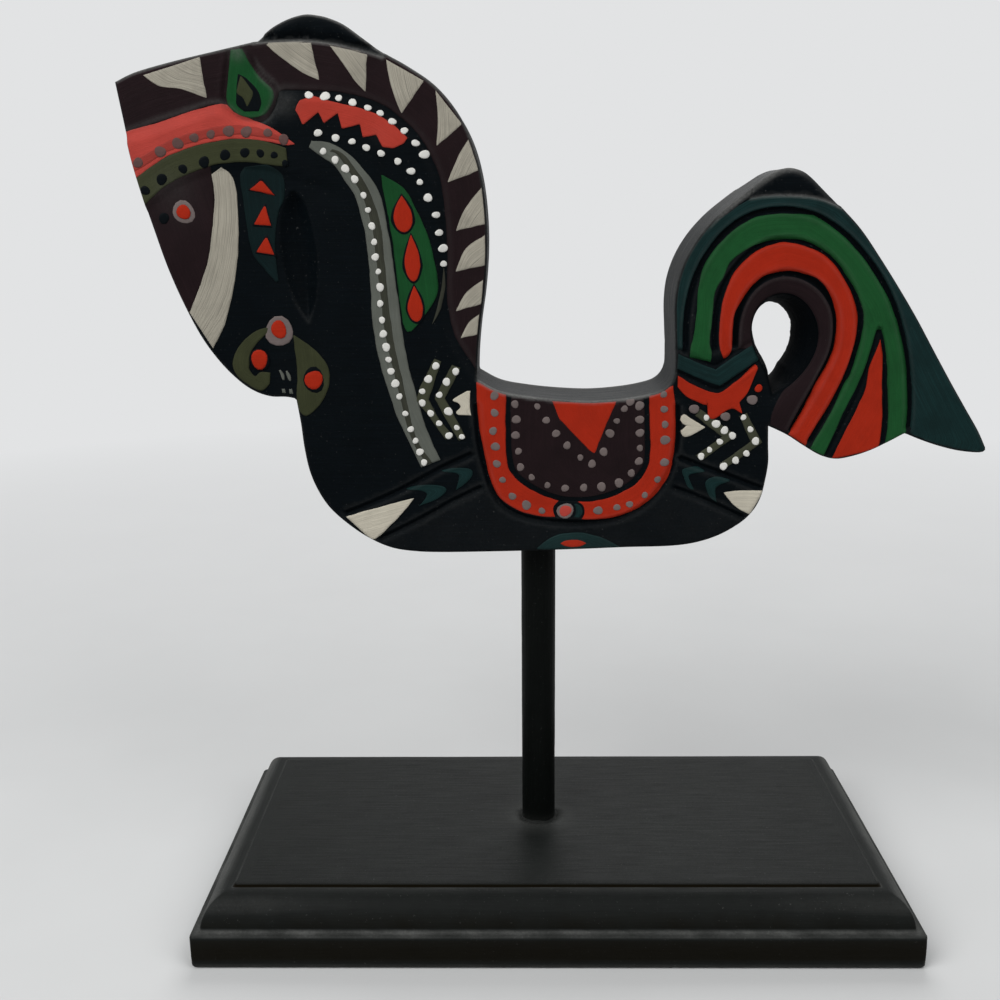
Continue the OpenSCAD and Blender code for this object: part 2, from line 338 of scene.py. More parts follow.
def wander(x, seed, length):
    """Slow seeded wandering between about -1 and 1: five sines of unlike lengths with seeded phases."""
    rng = np.random.default_rng(seed)
    waves = length / np.array([1.0, 1.7, 2.6, 4.3, 6.9])
    phase = rng.uniform(0, 2 * np.pi, 5)
    size = np.array([0.4, 0.3, 0.25, 0.15, 0.1])
    return (size * np.sin(2 * np.pi * np.asarray(x)[..., None] / waves + phase)).sum(-1)


STRETCHES = [CREST_LINE, SADDLE_LINE, TIP_LINE, TAIL_FOOT_LINE, BELLY_LINE, FACE_LINE]
RIM = even(np.vstack([spline(s)[:-1] for s in STRETCHES] + [np.array(CREST_LINE[:1])]), 1.3)
LOOP = even(spline(LOOP_LINE), 1.1)
MANE = even(spline(MANE_LINE), 1.2)
BROW = even(spline(BROW_LINE), 1.5)
CHEEK = even(spline(CHEEK_LINE), 1.2)
HUMPS = [even(spline(CREST_HUMP), 1.2), even(spline(TAIL_HUMP), 1.2)]
WIDE_CUTS = [even(spline(line), 1.1) for line in [SADDLE_CUT] + STRAP_CUTS + TAIL_CUTS]
THIN_CUTS = [even(spline(line), 1.1) for line in FINE_CUTS]
HALF_T = (HORSE_HIGH.y - HORSE_LOW.y) / 2 / MM
PLANE_X = (POST_LOW.x + POST_HIGH.x) / 2 / MM
PLANE_Z = HORSE_LOW.z / MM - BELLY_LOW


def stretch_between(line, first, last):
    """The part of a line from the point nearest to first up to the point nearest to last."""
    a = ((line - np.array(first)) ** 2).sum(1).argmin()
    b = ((line - np.array(last)) ** 2).sum(1).argmin()
    return line[a:b + 1] if a <= b else line[b:a + 1][::-1]


def left_of(line):
    """Unit directions along a line at its points, and the normals to their left."""
    run = np.gradient(line, axis=0)
    run /= np.maximum(np.linalg.norm(run, axis=1), 1e-9)[:, None]
    return run, np.stack([-run[:, 1], run[:, 0]], 1)


def beside(line, offsets):
    """Rows of points at set distances to the left of a line."""
    side = left_of(line)[1]
    return np.vstack([line + side * away for away in offsets])


def beside_rim(line, away):
    """A line moved to its left by a distance, with its ends drawn out as far."""
    run, side = left_of(line)
    moved = line + side * away
    return np.vstack([moved[:1] - run[:1] * away, moved, moved[-1:] + run[-1:] * away])


# Upper border of the mane: the rim, but along the foot of the hump where the hump stands behind it
MANE_RIM = np.vstack([
    stretch_between(RIM, (-162.3, 187.9), (-109, 201.6)),
    HUMPS[0],
    stretch_between(RIM, (-57.5, 196.3), (-24.6, 76)),
])
MANE_AREA = np.vstack([beside_rim(MANE_RIM, 3), MANE[::-1]])
HUMP_AREAS = [np.vstack([line, line[-1:] + (0, 24), line[:1] + (0, 24)]) for line in HUMPS]


def bell(x, middle, width):
    """A smooth bump of height 1 at a middle, that fades over a width on both sides."""
    return np.exp(-((x - middle) / width) ** 2)


# How deep the humps' upper edges are rounded, and over what width
HUMP_ROUND, HUMP_ROUND_WIDE = 1.7, 2.6
# Height of the ridge beside a cut, its distance from the cut's border and its width
RIDGE_RISE, RIDGE_AWAY, RIDGE_WIDE = 0.22, 0.5, 0.8
# Size of the finer cuts, as a share of the wide ones
FINE_SHARE = 0.6
# Widths over which the face drops below the cheek band and comes back to the flat
BROW_SLOPE, BROW_BACK, BROW_END = 2.4, 6, 26
# Width over which the cheek's hollow reaches its depth
BOWL_WIDE = 7.2
# How deep the faces slope towards the tail's opening, and over what width
LOOP_SLOPE, LOOP_SLOPE_WIDE = 1.5, 8


def carving(points):
    """Depth in millimetres of the carved face below the board's flat face. It adds up a rounded edge,
    the humps' recess, the sloped drop of the mane and of the face, V-shaped cuts, a bowl in the cheek,
    a slope towards the tail's opening and a slow wander of a hand-planed surface."""
    shape = settings()[0]
    u, w = points[:, 0], points[:, 1]
    round_r = shape.edge_round / MM
    planed = 0.1 * np.sin(u / 17 + 0.6) * np.sin(w / 13 + 0.3)
    sunk = planed + 0.05 * np.sin(u / 7.3 + w / 9.1) + 0.12
    rim_gap = nearest(points, RIM, 6)[0]
    loop_gap = nearest(points, LOOP, 12)[0]
    for line, area, start in zip(HUMPS, HUMP_AREAS, HUMP_STARTS):
        first, last = line[0, 0], line[-1, 0]
        gap = nearest(points, line, 5)[0]
        signed = np.where(inside(points, area), gap, -gap)
        ends = ramp(u, first - 2, first + start) * (1 - ramp(u, last - 9, last + 2))
        sunk += shape.hump_recess / MM * ramp(signed, -0.55, 0.3) * ends
        rounded = HUMP_ROUND * np.clip(1 - rim_gap / HUMP_ROUND_WIDE, 0, 1) ** 1.5
        sunk += np.where(signed > 0, rounded, 0)
    gap = nearest(points, MANE, 6)[0]
    slope = 1 - ramp(gap, 0, shape.mane_slope / MM)
    sunk += shape.mane_drop / MM * np.where(inside(points, MANE_AREA), 1, slope)
    gap, foot, side = nearest(points, BROW, BROW_END)
    below = ((points - foot) * side).sum(1) < 0
    drop_back = 1 - ramp(gap, BROW_BACK, BROW_END)
    sunk += np.where(below, shape.brow_drop / MM * ramp(gap, 0, BROW_SLOPE) * drop_back, 0)
    for cuts, share in ((WIDE_CUTS, 1.0), (THIN_CUTS, FINE_SHARE)):
        half = shape.cut_half / MM * (0.55 + 0.45 * share)
        for line in cuts:
            gap = nearest(points, line, 4)[0]
            sunk += share * shape.cut_depth / MM * np.clip(1 - (gap / half) ** 1.25, 0, 1)
            sunk -= share * RIDGE_RISE * bell(gap - half, RIDGE_AWAY, RIDGE_WIDE)
    gap = nearest(points, CHEEK, 9)[0]
    bowl = np.where(inside(points, CHEEK), 1 - (1 - np.clip(gap / BOWL_WIDE, 0, 1)) ** 1.8, 0)
    sunk += shape.cheek_depth / MM * bowl
    sunk += LOOP_SLOPE * np.clip(1 - loop_gap / LOOP_SLOPE_WIDE, 0, 1) ** 2
    lip = np.minimum(np.minimum(rim_gap, loop_gap), round_r)
    return np.maximum(sunk, 0) + round_r - np.sqrt(np.maximum(round_r**2 - (round_r - lip) ** 2, 0))


def wear_and_painted_light(points):
    """Wear and painted light at plane points. Above 0 the paint turns pale: dusty wear and painted highlight
    along the upper rim, the humps' feet and edges, the lip beside the ear and the ridges beside the cuts,
    painted highlight on the cheek hollow's lower rim, dusty paint at the foot of the mane and in dusty
    spots, and a faint pale tone below the straps. Below 0 it turns darker: painted shade in the cuts, in the
    cheek's hollow and round the tail's opening."""
    u, w = points[:, 0], points[:, 1]
    rim_gap, _, out = nearest(points, RIM, 4)
    # Upper rim: dusty wear and painted highlight, stronger where the rim faces up
    upward = ramp(out[:, 1], -0.1, 0.7) * (1 - 0.8 * ramp(u, 40, 58))
    wear_and_light = np.clip(1 - rim_gap / 1.1, 0, 1) * (0.2 + 1.4 * upward)
    edge = 1.1 - 0.8 * ramp(u, 97, 106)
    # Humps' feet and upper edges: dusty wear and painted highlight
    for line, area, wide, foot in zip(HUMPS, HUMP_AREAS, HUMP_EDGES, HUMP_FEET):
        wear_and_light = np.maximum(wear_and_light, foot * np.clip(1 - nearest(points, line, 3)[0] / 1.2, 0, 1))
        wear_and_light = np.maximum(wear_and_light, edge * ramp(wide - rim_gap, 0, wide) * inside(points, area))
    # Rim before the tail's hump: dusty wear and painted highlight
    before_hump = ramp(u, 64, 74) * (1 - ramp(u, 83, 87)) * (w > 110)
    wear_and_light = np.maximum(wear_and_light, ramp(2.0 - rim_gap, 0, 1.0) * before_hump)
    gap = nearest(points, MANE, 6)[0]
    dusty = inside(points, MANE_AREA) * (0.06 + 0.16 * ramp(-u, 88, 100))
    wear_and_light = np.maximum(wear_and_light, dusty * bell(gap, 1.3, 1.1))
    # Lip beside the ear's right side: wear and painted highlight
    gap = nearest(points, THIN_CUTS[0], 3)[0]
    wear_and_light = np.maximum(wear_and_light, 0.3 * bell(gap, 1.2, 0.9) * ramp(u, -109, -106))
    for middle_u, middle_w, reach, strength in DUSTY_SPOTS:
        away = ((u - middle_u) ** 2 + (w - middle_w) ** 2) / reach**2
        wear_and_light = np.maximum(wear_and_light, strength * np.exp(-away))
    gap = nearest(points, CHEEK, 9)[0]
    # Lower-left rim of the cheek's hollow: painted highlight; inside the hollow: painted shade
    wear_and_light = np.maximum(wear_and_light, 0.16 * bell(gap, 0, 0.6) * (1 - ramp(w + 0.6 * u, 36, 52)))
    wear_and_light = np.where(inside(points, CHEEK) & (gap > 0.8), -0.8, wear_and_light)
    below = (w < 30) & (u > -66) & (u < 84)
    # Ridges beside the wide cuts: wear and painted highlight; inside the cuts: painted shade
    for k, line in enumerate(WIDE_CUTS):
        gap, foot, side = nearest(points, line, 200)
        ridge = 0.12 if k == len(WIDE_CUTS) - 1 else 0.09
        wear_and_light = np.maximum(wear_and_light, ridge * bell(gap, 2.1, 0.6))
        wear_and_light = np.where(gap < 1.2, -0.7, wear_and_light)
        if k <= len(STRAP_CUTS):
            below &= ((points - foot) * side).sum(1) < 0
    wear_and_light = np.where(below, np.maximum(wear_and_light, 0.04), wear_and_light)
    # Round the tail's opening: painted shade
    return np.where(nearest(points, LOOP, 4)[0] < 1, -0.5, wear_and_light)


def keep_inside(points, margin):
    """Moves points that lie beyond the board's rim or opening, or nearer to it than a margin, to that
    margin inside the wood."""
    moved = np.array(points)
    for line, wood in ((RIM, 1), (LOOP, -1)):
        gap, foot, side = nearest(moved, line, 30)
        deep = np.where(inside(moved, line), gap, -gap) * wood
        short = deep < margin
        moved[short] = foot[short] - wood * side[short] * margin
    return moved


def to_space(points, sunk, back=False):
    """Plane points and their depth below a face, as points of the CAD frame in metres."""
    y = HALF_T - sunk if back else sunk - HALF_T
    return np.stack([points[:, 0] + PLANE_X, y, points[:, 1] + PLANE_Z], 1) * MM


def grid_quads(rows, columns, wrap_rows=False, wrap_columns=False):
    """Corner numbers of the quads of a grid of points, counted row by row."""
    i = np.arange(rows if wrap_rows else rows - 1)
    j = np.arange(columns if wrap_columns else columns - 1)
    i, j = np.meshgrid(i, j, indexing="ij")
    k = (i + 1) % rows
    m = (j + 1) % columns
    return np.stack([i * columns + j, k * columns + j, k * columns + m, i * columns + m], -1).reshape(-1, 4)


def add_piece(name, points, faces, material, values, merge=False, outwards=False):
    """A mesh object from arrays of points and lists of faces, riding on the CAD body. Values are stored
    on the points: along and across the brush stroke in millimetres, nearness to the film's rim from 0
    to 1, and a mask of wear and painted light: above 0 for dusty wear and painted highlight, below 0 for
    painted shade."""
    mesh = bpy.data.meshes.new(name)
    mesh.vertices.add(len(points))
    mesh.vertices.foreach_set("co", np.ascontiguousarray(points, np.float32).ravel())
    corners = np.concatenate([f.ravel() for f in faces]).astype(np.int32)
    sizes = np.concatenate([np.full(len(f), f.shape[1]) for f in faces])
    mesh.loops.add(len(corners))
    mesh.loops.foreach_set("vertex_index", corners)
    mesh.polygons.add(len(sizes))
    mesh.polygons.foreach_set("loop_start", (np.cumsum(sizes) - sizes).astype(np.int32))
    mesh.update(calc_edges=True)
    layer = mesh.attributes.new("brush", "FLOAT_VECTOR", "POINT")
    layer.data.foreach_set("vector", np.ascontiguousarray(values[:, :3], np.float32).ravel())
    layer = mesh.attributes.new("dust_and_painted_light", "FLOAT", "POINT")
    layer.data.foreach_set("value", np.ascontiguousarray(values[:, 3], np.float32))
    if merge or outwards:
        work = bmesh.new()
        work.from_mesh(mesh)
        if merge:
            bmesh.ops.remove_doubles(work, verts=work.verts, dist=2e-7)
            bmesh.ops.dissolve_degenerate(work, edges=work.edges, dist=1e-8)
        if outwards:
            bmesh.ops.recalc_face_normals(work, faces=work.faces)
        work.to_mesh(mesh)
        work.free()
    mesh.validate()
    mesh.shade_smooth()
    piece = bpy.data.objects.new(name, mesh)
    bpy.context.scene.collection.objects.link(piece)
    mesh.materials.append(material)
    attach(piece, "root")
    return piece


def linear(colour):
    """A display colour as the light values that the shader takes."""
    c = np.array(colour[:3])
    return (*np.where(c <= 0.04045, c / 12.92, ((c + 0.055) / 1.055) ** 2.4), 1.0)


# Lift in millimetres from one layer of paint to the next, and how far films reach into the wood
LAYER, FILM_ROOT = 0.14, 0.5
# Widths over which a film's rim falls to the wood and over which its paint thins
FILM_LIP, FILM_THIN = 0.7, 1.6


def film_grid(shape, curved, wobble, seed, step):
    """A patch of paint as a ruled grid: straight lines join two edges station by station.
    The edges are curves through their points, or straight runs, and wander a little as a brush does."""
    a, b = (np.asarray(edge, float) for edge in shape)
    if len(a) == len(b):
        longest = max(np.linalg.norm(np.diff(e, axis=0), axis=1).max() for e in (a, b))
        parts = max(int(np.ceil(longest / step)), 2)
        if curved:
            a, b = spline(a, parts), spline(b, parts)
        else:
            knots = np.arange(len(a))
            t = np.linspace(0, len(a) - 1, (len(a) - 1) * parts + 1)
            a, b = (np.stack([np.interp(t, knots, e[:, k]) for k in (0, 1)], 1) for e in (a, b))
    else:
        a, b = (spline(e) if curved else e for e in (a, b))
        rows = max(int(max(run_length(a)[-1], run_length(b)[-1]) / step), 8)
        a, b = (at_fractions(e, np.linspace(0, 1, rows + 1)) for e in (a, b))
    across = b - a
    wide = np.linalg.norm(across, axis=1)
    across /= np.maximum(wide, 1e-6)[:, None]
    run = run_length((a + b) / 2)
    narrow = np.minimum(wide / 3, 1)
    a = a + across * (wobble * wander(run, seed, 23) * narrow)[:, None]
    b = b + across * (wobble * wander(run, seed + 1, 19) * narrow)[:, None]
    columns = max(int(wide.max() / step), 4)
    border = 0.4 / columns
    t = np.unique(np.concatenate([np.linspace(0, 1, columns + 1), [border, 1 - border]]))
    points = a[:, None] * (1 - t)[None, :, None] + b[:, None] * t[None, :, None]
    ends = np.minimum(run, run[-1] - run)[:, None]
    edge = np.minimum(np.minimum(t, 1 - t)[None] * wide[:, None], ends)
    stroke = np.stack([np.broadcast_to(run[:, None], edge.shape), t[None] * wide[:, None], edge], -1)
    return points, stroke


def film(name, tint, shapes, layer=0, curved=True, wobble=0.18, seed=1, step=1.1, margin=0.45):
    """Brushed patches on both faces: each is a grid that follows the carving, raised by a film of paint
    whose rim falls to the wood along a quarter circle, with a second grid sunk into the wood that
    closes it."""
    coat = settings()[0].paint_film / MM
    grids = [film_grid(shape, curved, wobble, seed + 7 * k, step) for k, shape in enumerate(shapes)]
    flat = keep_inside(np.vstack([g[0].reshape(-1, 2) for g in grids]), margin)
    along, across, edge = np.vstack([g[1].reshape(-1, 3) for g in grids]).T
    sunk = carving(flat)
    rise = np.sqrt(1 - (1 - np.clip(edge / FILM_LIP, 0, 1)) ** 2)
    top = sunk - coat * rise - LAYER * layer
    low = sunk + FILM_ROOT
    thin = 1 - np.clip(edge / FILM_THIN, 0, 1)
    # Films take only the pale part: dusty wear and painted highlight
    values = np.stack([along, across + 31 * seed, thin, np.maximum(wear_and_painted_light(flat), 0)], 1)
    faces = []
    count = len(flat)
    start = 0
    for points, _ in grids:
        rows, columns = points.shape[:2]
        number = np.arange(start, start + rows * columns).reshape(rows, columns)
        quads = grid_quads(rows, columns) + start
        ring = np.concatenate([number[0], number[1:, -1], number[-1, -2::-1], number[-2:0:-1, 0]])
        ahead = np.roll(ring, -1)
        loop = flat[ring]
        turn = (loop[:, 0] * np.roll(loop[:, 1], -1) - loop[:, 1] * np.roll(loop[:, 0], -1)).sum()
        wall = np.stack([ring, ring + count, ahead + count, ahead], 1)
        group = [quads[:, ::-1], quads + count, wall]
        faces += group if turn > 0 else [f[:, ::-1] for f in group]
        start += rows * columns
    sides = [to_space(flat, sink, back) for back in (False, True) for sink in (top, low)]
    both = faces + [f[:, ::-1] + 2 * count for f in faces]
    return add_piece(name, np.vstack(sides), both, finish(tint), np.vstack([values] * 4), merge=True)


def dabs(name, tint, spots, radius, height, seed=1, layer=1, stretch=1.0):
    """Dots of thick paint on both faces: low domes on a polar grid, each with a seeded uneven border
    and a peak off its middle; the border is sunk into the wood and closed underneath. Spots may give
    their own radius."""
    rng = np.random.default_rng(seed)
    spots = np.asarray(spots, float)
    count = len(spots)
    turns = np.linspace(0, 2 * np.pi, 14, endpoint=False)
    rings = np.array([0, 0.35, 0.66, 0.84, 0.95, 1.0, 0.96, 0.0])
    rise = np.array([1, 0.99, 0.93, 0.74, 0.4, -0.1, -0.6, -0.6])
    size = radius * rng.uniform(0.78, 1.22, count) if spots.shape[1] == 2 else spots[:, 2]
    phase = rng.uniform(0, 2 * np.pi, (count, 3, 1))
    uneven = 1 + 0.07 * np.sin(2 * turns + phase[:, 0]) + 0.045 * np.sin(3 * turns + phase[:, 1])
    lean = rng.uniform(-0.25, 0.25, (count, 2)) * size[:, None]
    shift = lean[:, :, None, None] * (1 - rings)[None, :, None] * 0.6
    reach = (size[:, None] * uneven)[:, None, :] * rings[None, :, None]
    u = spots[:, 0, None, None] + reach * np.cos(turns) + shift[:, 0]
    w = spots[:, 1, None, None] + reach * np.sin(turns) * stretch + shift[:, 1]
    flat = keep_inside(np.stack([u, w], -1).reshape(-1, 2), 0.3)
    dome = np.broadcast_to(rise[None, :, None] * height, u.shape).ravel()
    sunk = carving(flat) - dome - LAYER * layer
    quads = grid_quads(len(rings), len(turns), wrap_columns=True)
    starts = np.arange(count) * len(rings) * len(turns)
    faces = (quads[None] + starts[:, None, None]).reshape(-1, 4)
    values = np.stack([u.ravel(), w.ravel(), np.clip(-dome / height, 0, 1), np.zeros(u.size)], 1)
    points = np.vstack([to_space(flat, sunk), to_space(flat, sunk, True)])
    both = [faces, faces[:, ::-1] + len(flat)]
    return add_piece(name, points, both, finish(tint), np.vstack([values] * 2), merge=True)


# Spacing of the face's points: even grid, grid in the cheek, least gap to another point and to a border
NET_STEP, CHEEK_STEP, NET_MERGE, NET_CLEAR = 1.7, 0.9, 0.36, 0.16
# Distances from the lines at which the face carries rows of points
RIM_ROWS = (-0.2, -0.5, -0.85, -1.3, -2.2)
LOOP_ROWS = (0.2, 0.5, 0.9, 1.4, 2.3)
CUT_ROWS = (0, -0.32, 0.32, -0.66, 0.66, -1, 1, -1.35, 1.35, -2, 2)
FINE_ROWS = (0, -0.4, 0.4, -0.8, 0.8, -1.2, 1.2)
HUMP_ROWS = (0.3, 0.1, -0.1, -0.35, -0.6, -1.2, 1)
MANE_ROWS = (0, -0.8, -1.6, -2.4, -3.2, -4, -4.8, 1)


def grid_points(u_range, w_range, step):
    """Points of an even grid over two ranges."""
    u, w = np.meshgrid(np.arange(*u_range, step), np.arange(*w_range, step))
    return np.stack([u.ravel(), w.ravel()], 1)


def face_net():
    """Triangles of one carved face: rows of points carried along the rim, the cuts and the slopes, with
    an even grid between them, joined by a Delaunay net that keeps the rim and the tail's opening as
    edges."""
    rows = [beside(RIM, RIM_ROWS), beside(LOOP, LOOP_ROWS)]
    rows += [beside(line, CUT_ROWS) for line in WIDE_CUTS]
    rows += [beside(line, FINE_ROWS) for line in THIN_CUTS]
    rows += [beside(line, HUMP_ROWS) for line in HUMPS]
    rows += [beside(MANE, MANE_ROWS), beside(CHEEK, (0, 0.5, -0.5)), beside(BROW, (0, -1.2, -2.4))]
    rows.append(grid_points((-102, -86), (95, 148), CHEEK_STEP))
    even_grid = grid_points((-162, 182), (-1, 211.5), NET_STEP)
    rows.append(even_grid + 0.4 * np.sin(even_grid[:, ::-1] * (3.1, 2.7)))
    points = np.vstack(rows)
    first = np.unique(np.round(points / NET_MERGE).astype(int), axis=0, return_index=True)[1]
    points = points[np.sort(first)]
    points = points[inside(points, RIM) & ~inside(points, LOOP)]
    clear = (nearest(points, RIM, 3)[0] > NET_CLEAR) & (nearest(points, LOOP, 3)[0] > NET_CLEAR)
    points = points[clear]
    border = [RIM[:-1], LOOP[:-1]]
    flat = np.vstack(border + [points])
    a = np.arange(len(border[0]))
    b = np.arange(len(border[1]))
    links = np.vstack([np.stack([a, np.roll(a, -1)], 1), np.stack([b, np.roll(b, -1)], 1) + len(a)])
    net = delaunay_2d_cdt([Vector(p) for p in flat.tolist()], links.tolist(), [], 0, 1e-5)
    flat = np.array([tuple(v) for v in net[0]])
    tris = np.array(net[2])
    middle = flat[tris].mean(1)
    tris = tris[inside(middle, RIM) & ~inside(middle, LOOP)]
    p, q, r = (flat[tris[:, k]] for k in range(3))
    turned = np.cross(q - p, r - p) < 0
    tris[turned] = tris[turned][:, ::-1]
    return flat, tris, len(a), len(b)


# Rows of points across the board's walls, and the length that one step along a wall counts for the brush
WALL_ROWS, WALL_STEP = 9, 1.3


def ring_runs(ring):
    """Unit directions along a closed ring at its points."""
    ahead = np.roll(ring, -1, 0) - np.roll(ring, 1, 0)
    return ahead / np.linalg.norm(ahead, axis=1)[:, None]


def wall_points(front, back, ring, swell, arc):
    """Points of a wall from one border to the other, on a flat arc that stands out by a swell
    half-way."""
    across = np.linspace(0, 1, WALL_ROWS)
    mid = front[:, None] * (1 - across)[None, :, None] + back[:, None] * across[None, :, None]
    bulge = (1 - np.abs(2 * across - 1) ** arc) * MM
    run = ring_runs(ring)
    mid[:, :, 0] += (-run[:, 1] * swell)[:, None] * bulge
    mid[:, :, 2] += (run[:, 0] * swell)[:, None] * bulge
    return mid[:, 1:-1]


def board_piece(material):
    """The carved board: the face net laid at the carving's depth on both sides, and a wall round the
    rim and the opening. The outer wall wanders slowly and is pale with dusty wear and painted sheen, more
    where it faces up; the opening's wall swells and is darkened with painted shade."""
    shape = settings()[0]
    flat, tris, rim_count, loop_count = face_net()
    sunk = carving(flat)
    count = len(flat)
    points = [to_space(flat, sunk), to_space(flat, sunk, True)]
    values = [np.column_stack([flat, np.zeros(count), wear_and_painted_light(flat)])] * 2
    faces = [tris, tris[:, ::-1] + count]
    total = 2 * count
    rim = np.arange(rim_count)
    rim_swell = 0.1 * wander(rim * WALL_STEP, 5, 61) - 0.1
    # Rim walls: dusty wear and painted sheen, more where the wall faces up
    rim_dust_and_sheen = 0.21 + 0.08 * ramp(nearest(flat[rim], RIM, 4)[2][:, 1], 0.5, 1)
    loop = np.arange(loop_count)
    reach = np.clip(0.8 * (flat[rim_count + loop, 1] - LOOP[:, 1].min()) + 0.2, 0, shape.hole_swell / MM)
    reach *= 0.72 - 0.28 * ring_runs(LOOP[:-1])[:, 1]
    ragged = wander(loop, 5, 47) + 0.4 * wander(loop, 9, 7)
    # Opening's wall: painted shade
    loop_painted_shade = np.full(loop_count, -0.55)
    walls = (
        (rim, rim_swell, 2.5, rim_dust_and_sheen),
        (rim_count + loop, -reach * (1 + 0.08 * ragged), 1.7, loop_painted_shade),
    )
    for number, swell, arc, dust_and_painted_light in walls:
        inner = wall_points(points[0][number], points[1][number], flat[number], swell, arc)
        size, steps = inner.shape[:2]
        between = total + np.arange(size * steps).reshape(size, steps)
        net = np.hstack([number[:, None], between, number[:, None] + count])
        quads = net.ravel()[grid_quads(size, steps + 2, wrap_rows=True)]
        faces.append(quads[:, ::-1])
        points.append(inner.reshape(-1, 3))
        along = np.repeat(np.arange(size) * WALL_STEP, steps)
        across = inner[:, :, 1].ravel() / MM
        values.append(np.column_stack([along, across, np.zeros(size * steps), np.repeat(dust_and_painted_light, steps)]))
        total += size * steps
    points = np.vstack(points)
    values = np.vstack(values)
    piece = add_piece("horse_board", points, faces, material, values, outwards=True)
    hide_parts("horse_body")
    return piece


def rect_ring(half_x, half_y, corner):
    """A rectangle with rounded corners as a ring of points, run anticlockwise from the rear end of its
    right side."""
    arc = np.linspace(0, np.pi / 2, 6)
    turn = np.concatenate([arc + k * np.pi / 2 for k in range(4)])
    sign = np.repeat(np.array([(1, 1), (-1, 1), (-1, -1), (1, -1)]), 6, axis=0)
    knots = sign * (half_x - corner, half_y - corner) + corner * np.stack([np.cos(turn), np.sin(turn)], 1)
    sides = []
    for k, parts in enumerate((60, 30, 60, 30)):
        a, b = knots[6 * k + 5], knots[(6 * k + 6) % 24]
        t = np.linspace(0, 1, parts + 1)[1:-1, None]
        sides += [knots[6 * k:6 * k + 6], a + (b - a) * t]
    return np.vstack(sides)


# Section of the base in millimetres: radius of its foot, heights of the ledge and of the step's foot,
# and insets of the two ends of the quarter round between them
FOOT_R, LEDGE_Z, STEP_Z, ROUND_FOOT, ROUND_TOP = 2, 15, 28, 3.5, 14.5
# Radii of the socket and of the screw's shank and head in their holes, and height of the socket's floor
SOCKET_R, SHANK_R, HEAD_R, SOCKET_FLOOR = POST_R + 0.1, 2.15, 4.15, 11


def base_section():
    """Insets and heights up the moulded edge: rounded foot, plain face, ledge, a quarter of an ellipse,
    step."""
    g = np.linspace(0, np.pi / 2, 12)
    foot = FOOT_R - FOOT_R * np.stack([np.sin(g[::3]), np.cos(g[::3])], 1)
    face = [(0, 5), (0, 9), (0, 13), (0, 14), (0.12, 14.6), (0.45, 14.93), (0.9, LEDGE_Z), (2.2, LEDGE_Z)]
    wide = ROUND_TOP - ROUND_FOOT
    curve = np.stack([ROUND_TOP - wide * np.cos(g), LEDGE_Z + (STEP_Z - LEDGE_Z) * np.sin(g)], 1)
    step = [
        (14.95, STEP_Z), (15.4, STEP_Z), (15.8, 28.02), (16, 28.25), (16.02, 28.6),
        (16.25, BASE_TOP - 0.1), (16.7, BASE_TOP),
    ]
    return np.vstack([foot, face, curve, step])


def base_wear_and_light(ring, inset, z, half_x, half_y):
    """Wear and painted light of the base at one ring: a dusty foot, dusty ends on the quarter round and a
    dusty step's foot, dusty wear and painted highlight along the ledge, a darker and warmer plain face with
    painted shade, and painted shade at the foot of the front's round and in the front's step."""
    x, y = ring.T
    end = np.abs(x) > half_x - inset - 0.4
    front = ramp(-y, half_y - 20, half_y - 17)
    broken = 0.85 + 0.4 * wander(x + y, 17, 37)
    # Ledge: dusty wear and painted highlight; foot: dusty
    ledge = bell(z, 14.9, 0.45) * (0.55 + 0.55 * ramp(inset, 0.5, 2.5))
    mask = ledge * broken + 0.5 * bell(z, 1, 0.9)
    dusty = np.where(end, 0.9, 0.16 * ramp(np.abs(x), half_x - 80, half_x - 12))
    mask += dusty * ramp(z, 15.2, 17.5) * (1 - ramp(z, 26, 28))
    # Plain face: painted shade, darker and warmer
    mask -= 0.7 * ramp(z, 3, 5) * (1 - ramp(z, 12.5, 14))
    # Foot of the front's quarter round: painted shade
    mask -= 0.45 * ramp(z, 15.3, 16.5) * (1 - ramp(z, 18, 24)) * front * broken
    mask += 0.55 * bell(inset, 14.95, 0.3) * front * broken
    # Step's riser: dusty at the ends and back, painted shade at the front
    mask += bell(z, 28.3, 0.4) * (0.5 - 2 * front) * (inset > 15.3)
    return np.clip(mask, -1, 1.3)


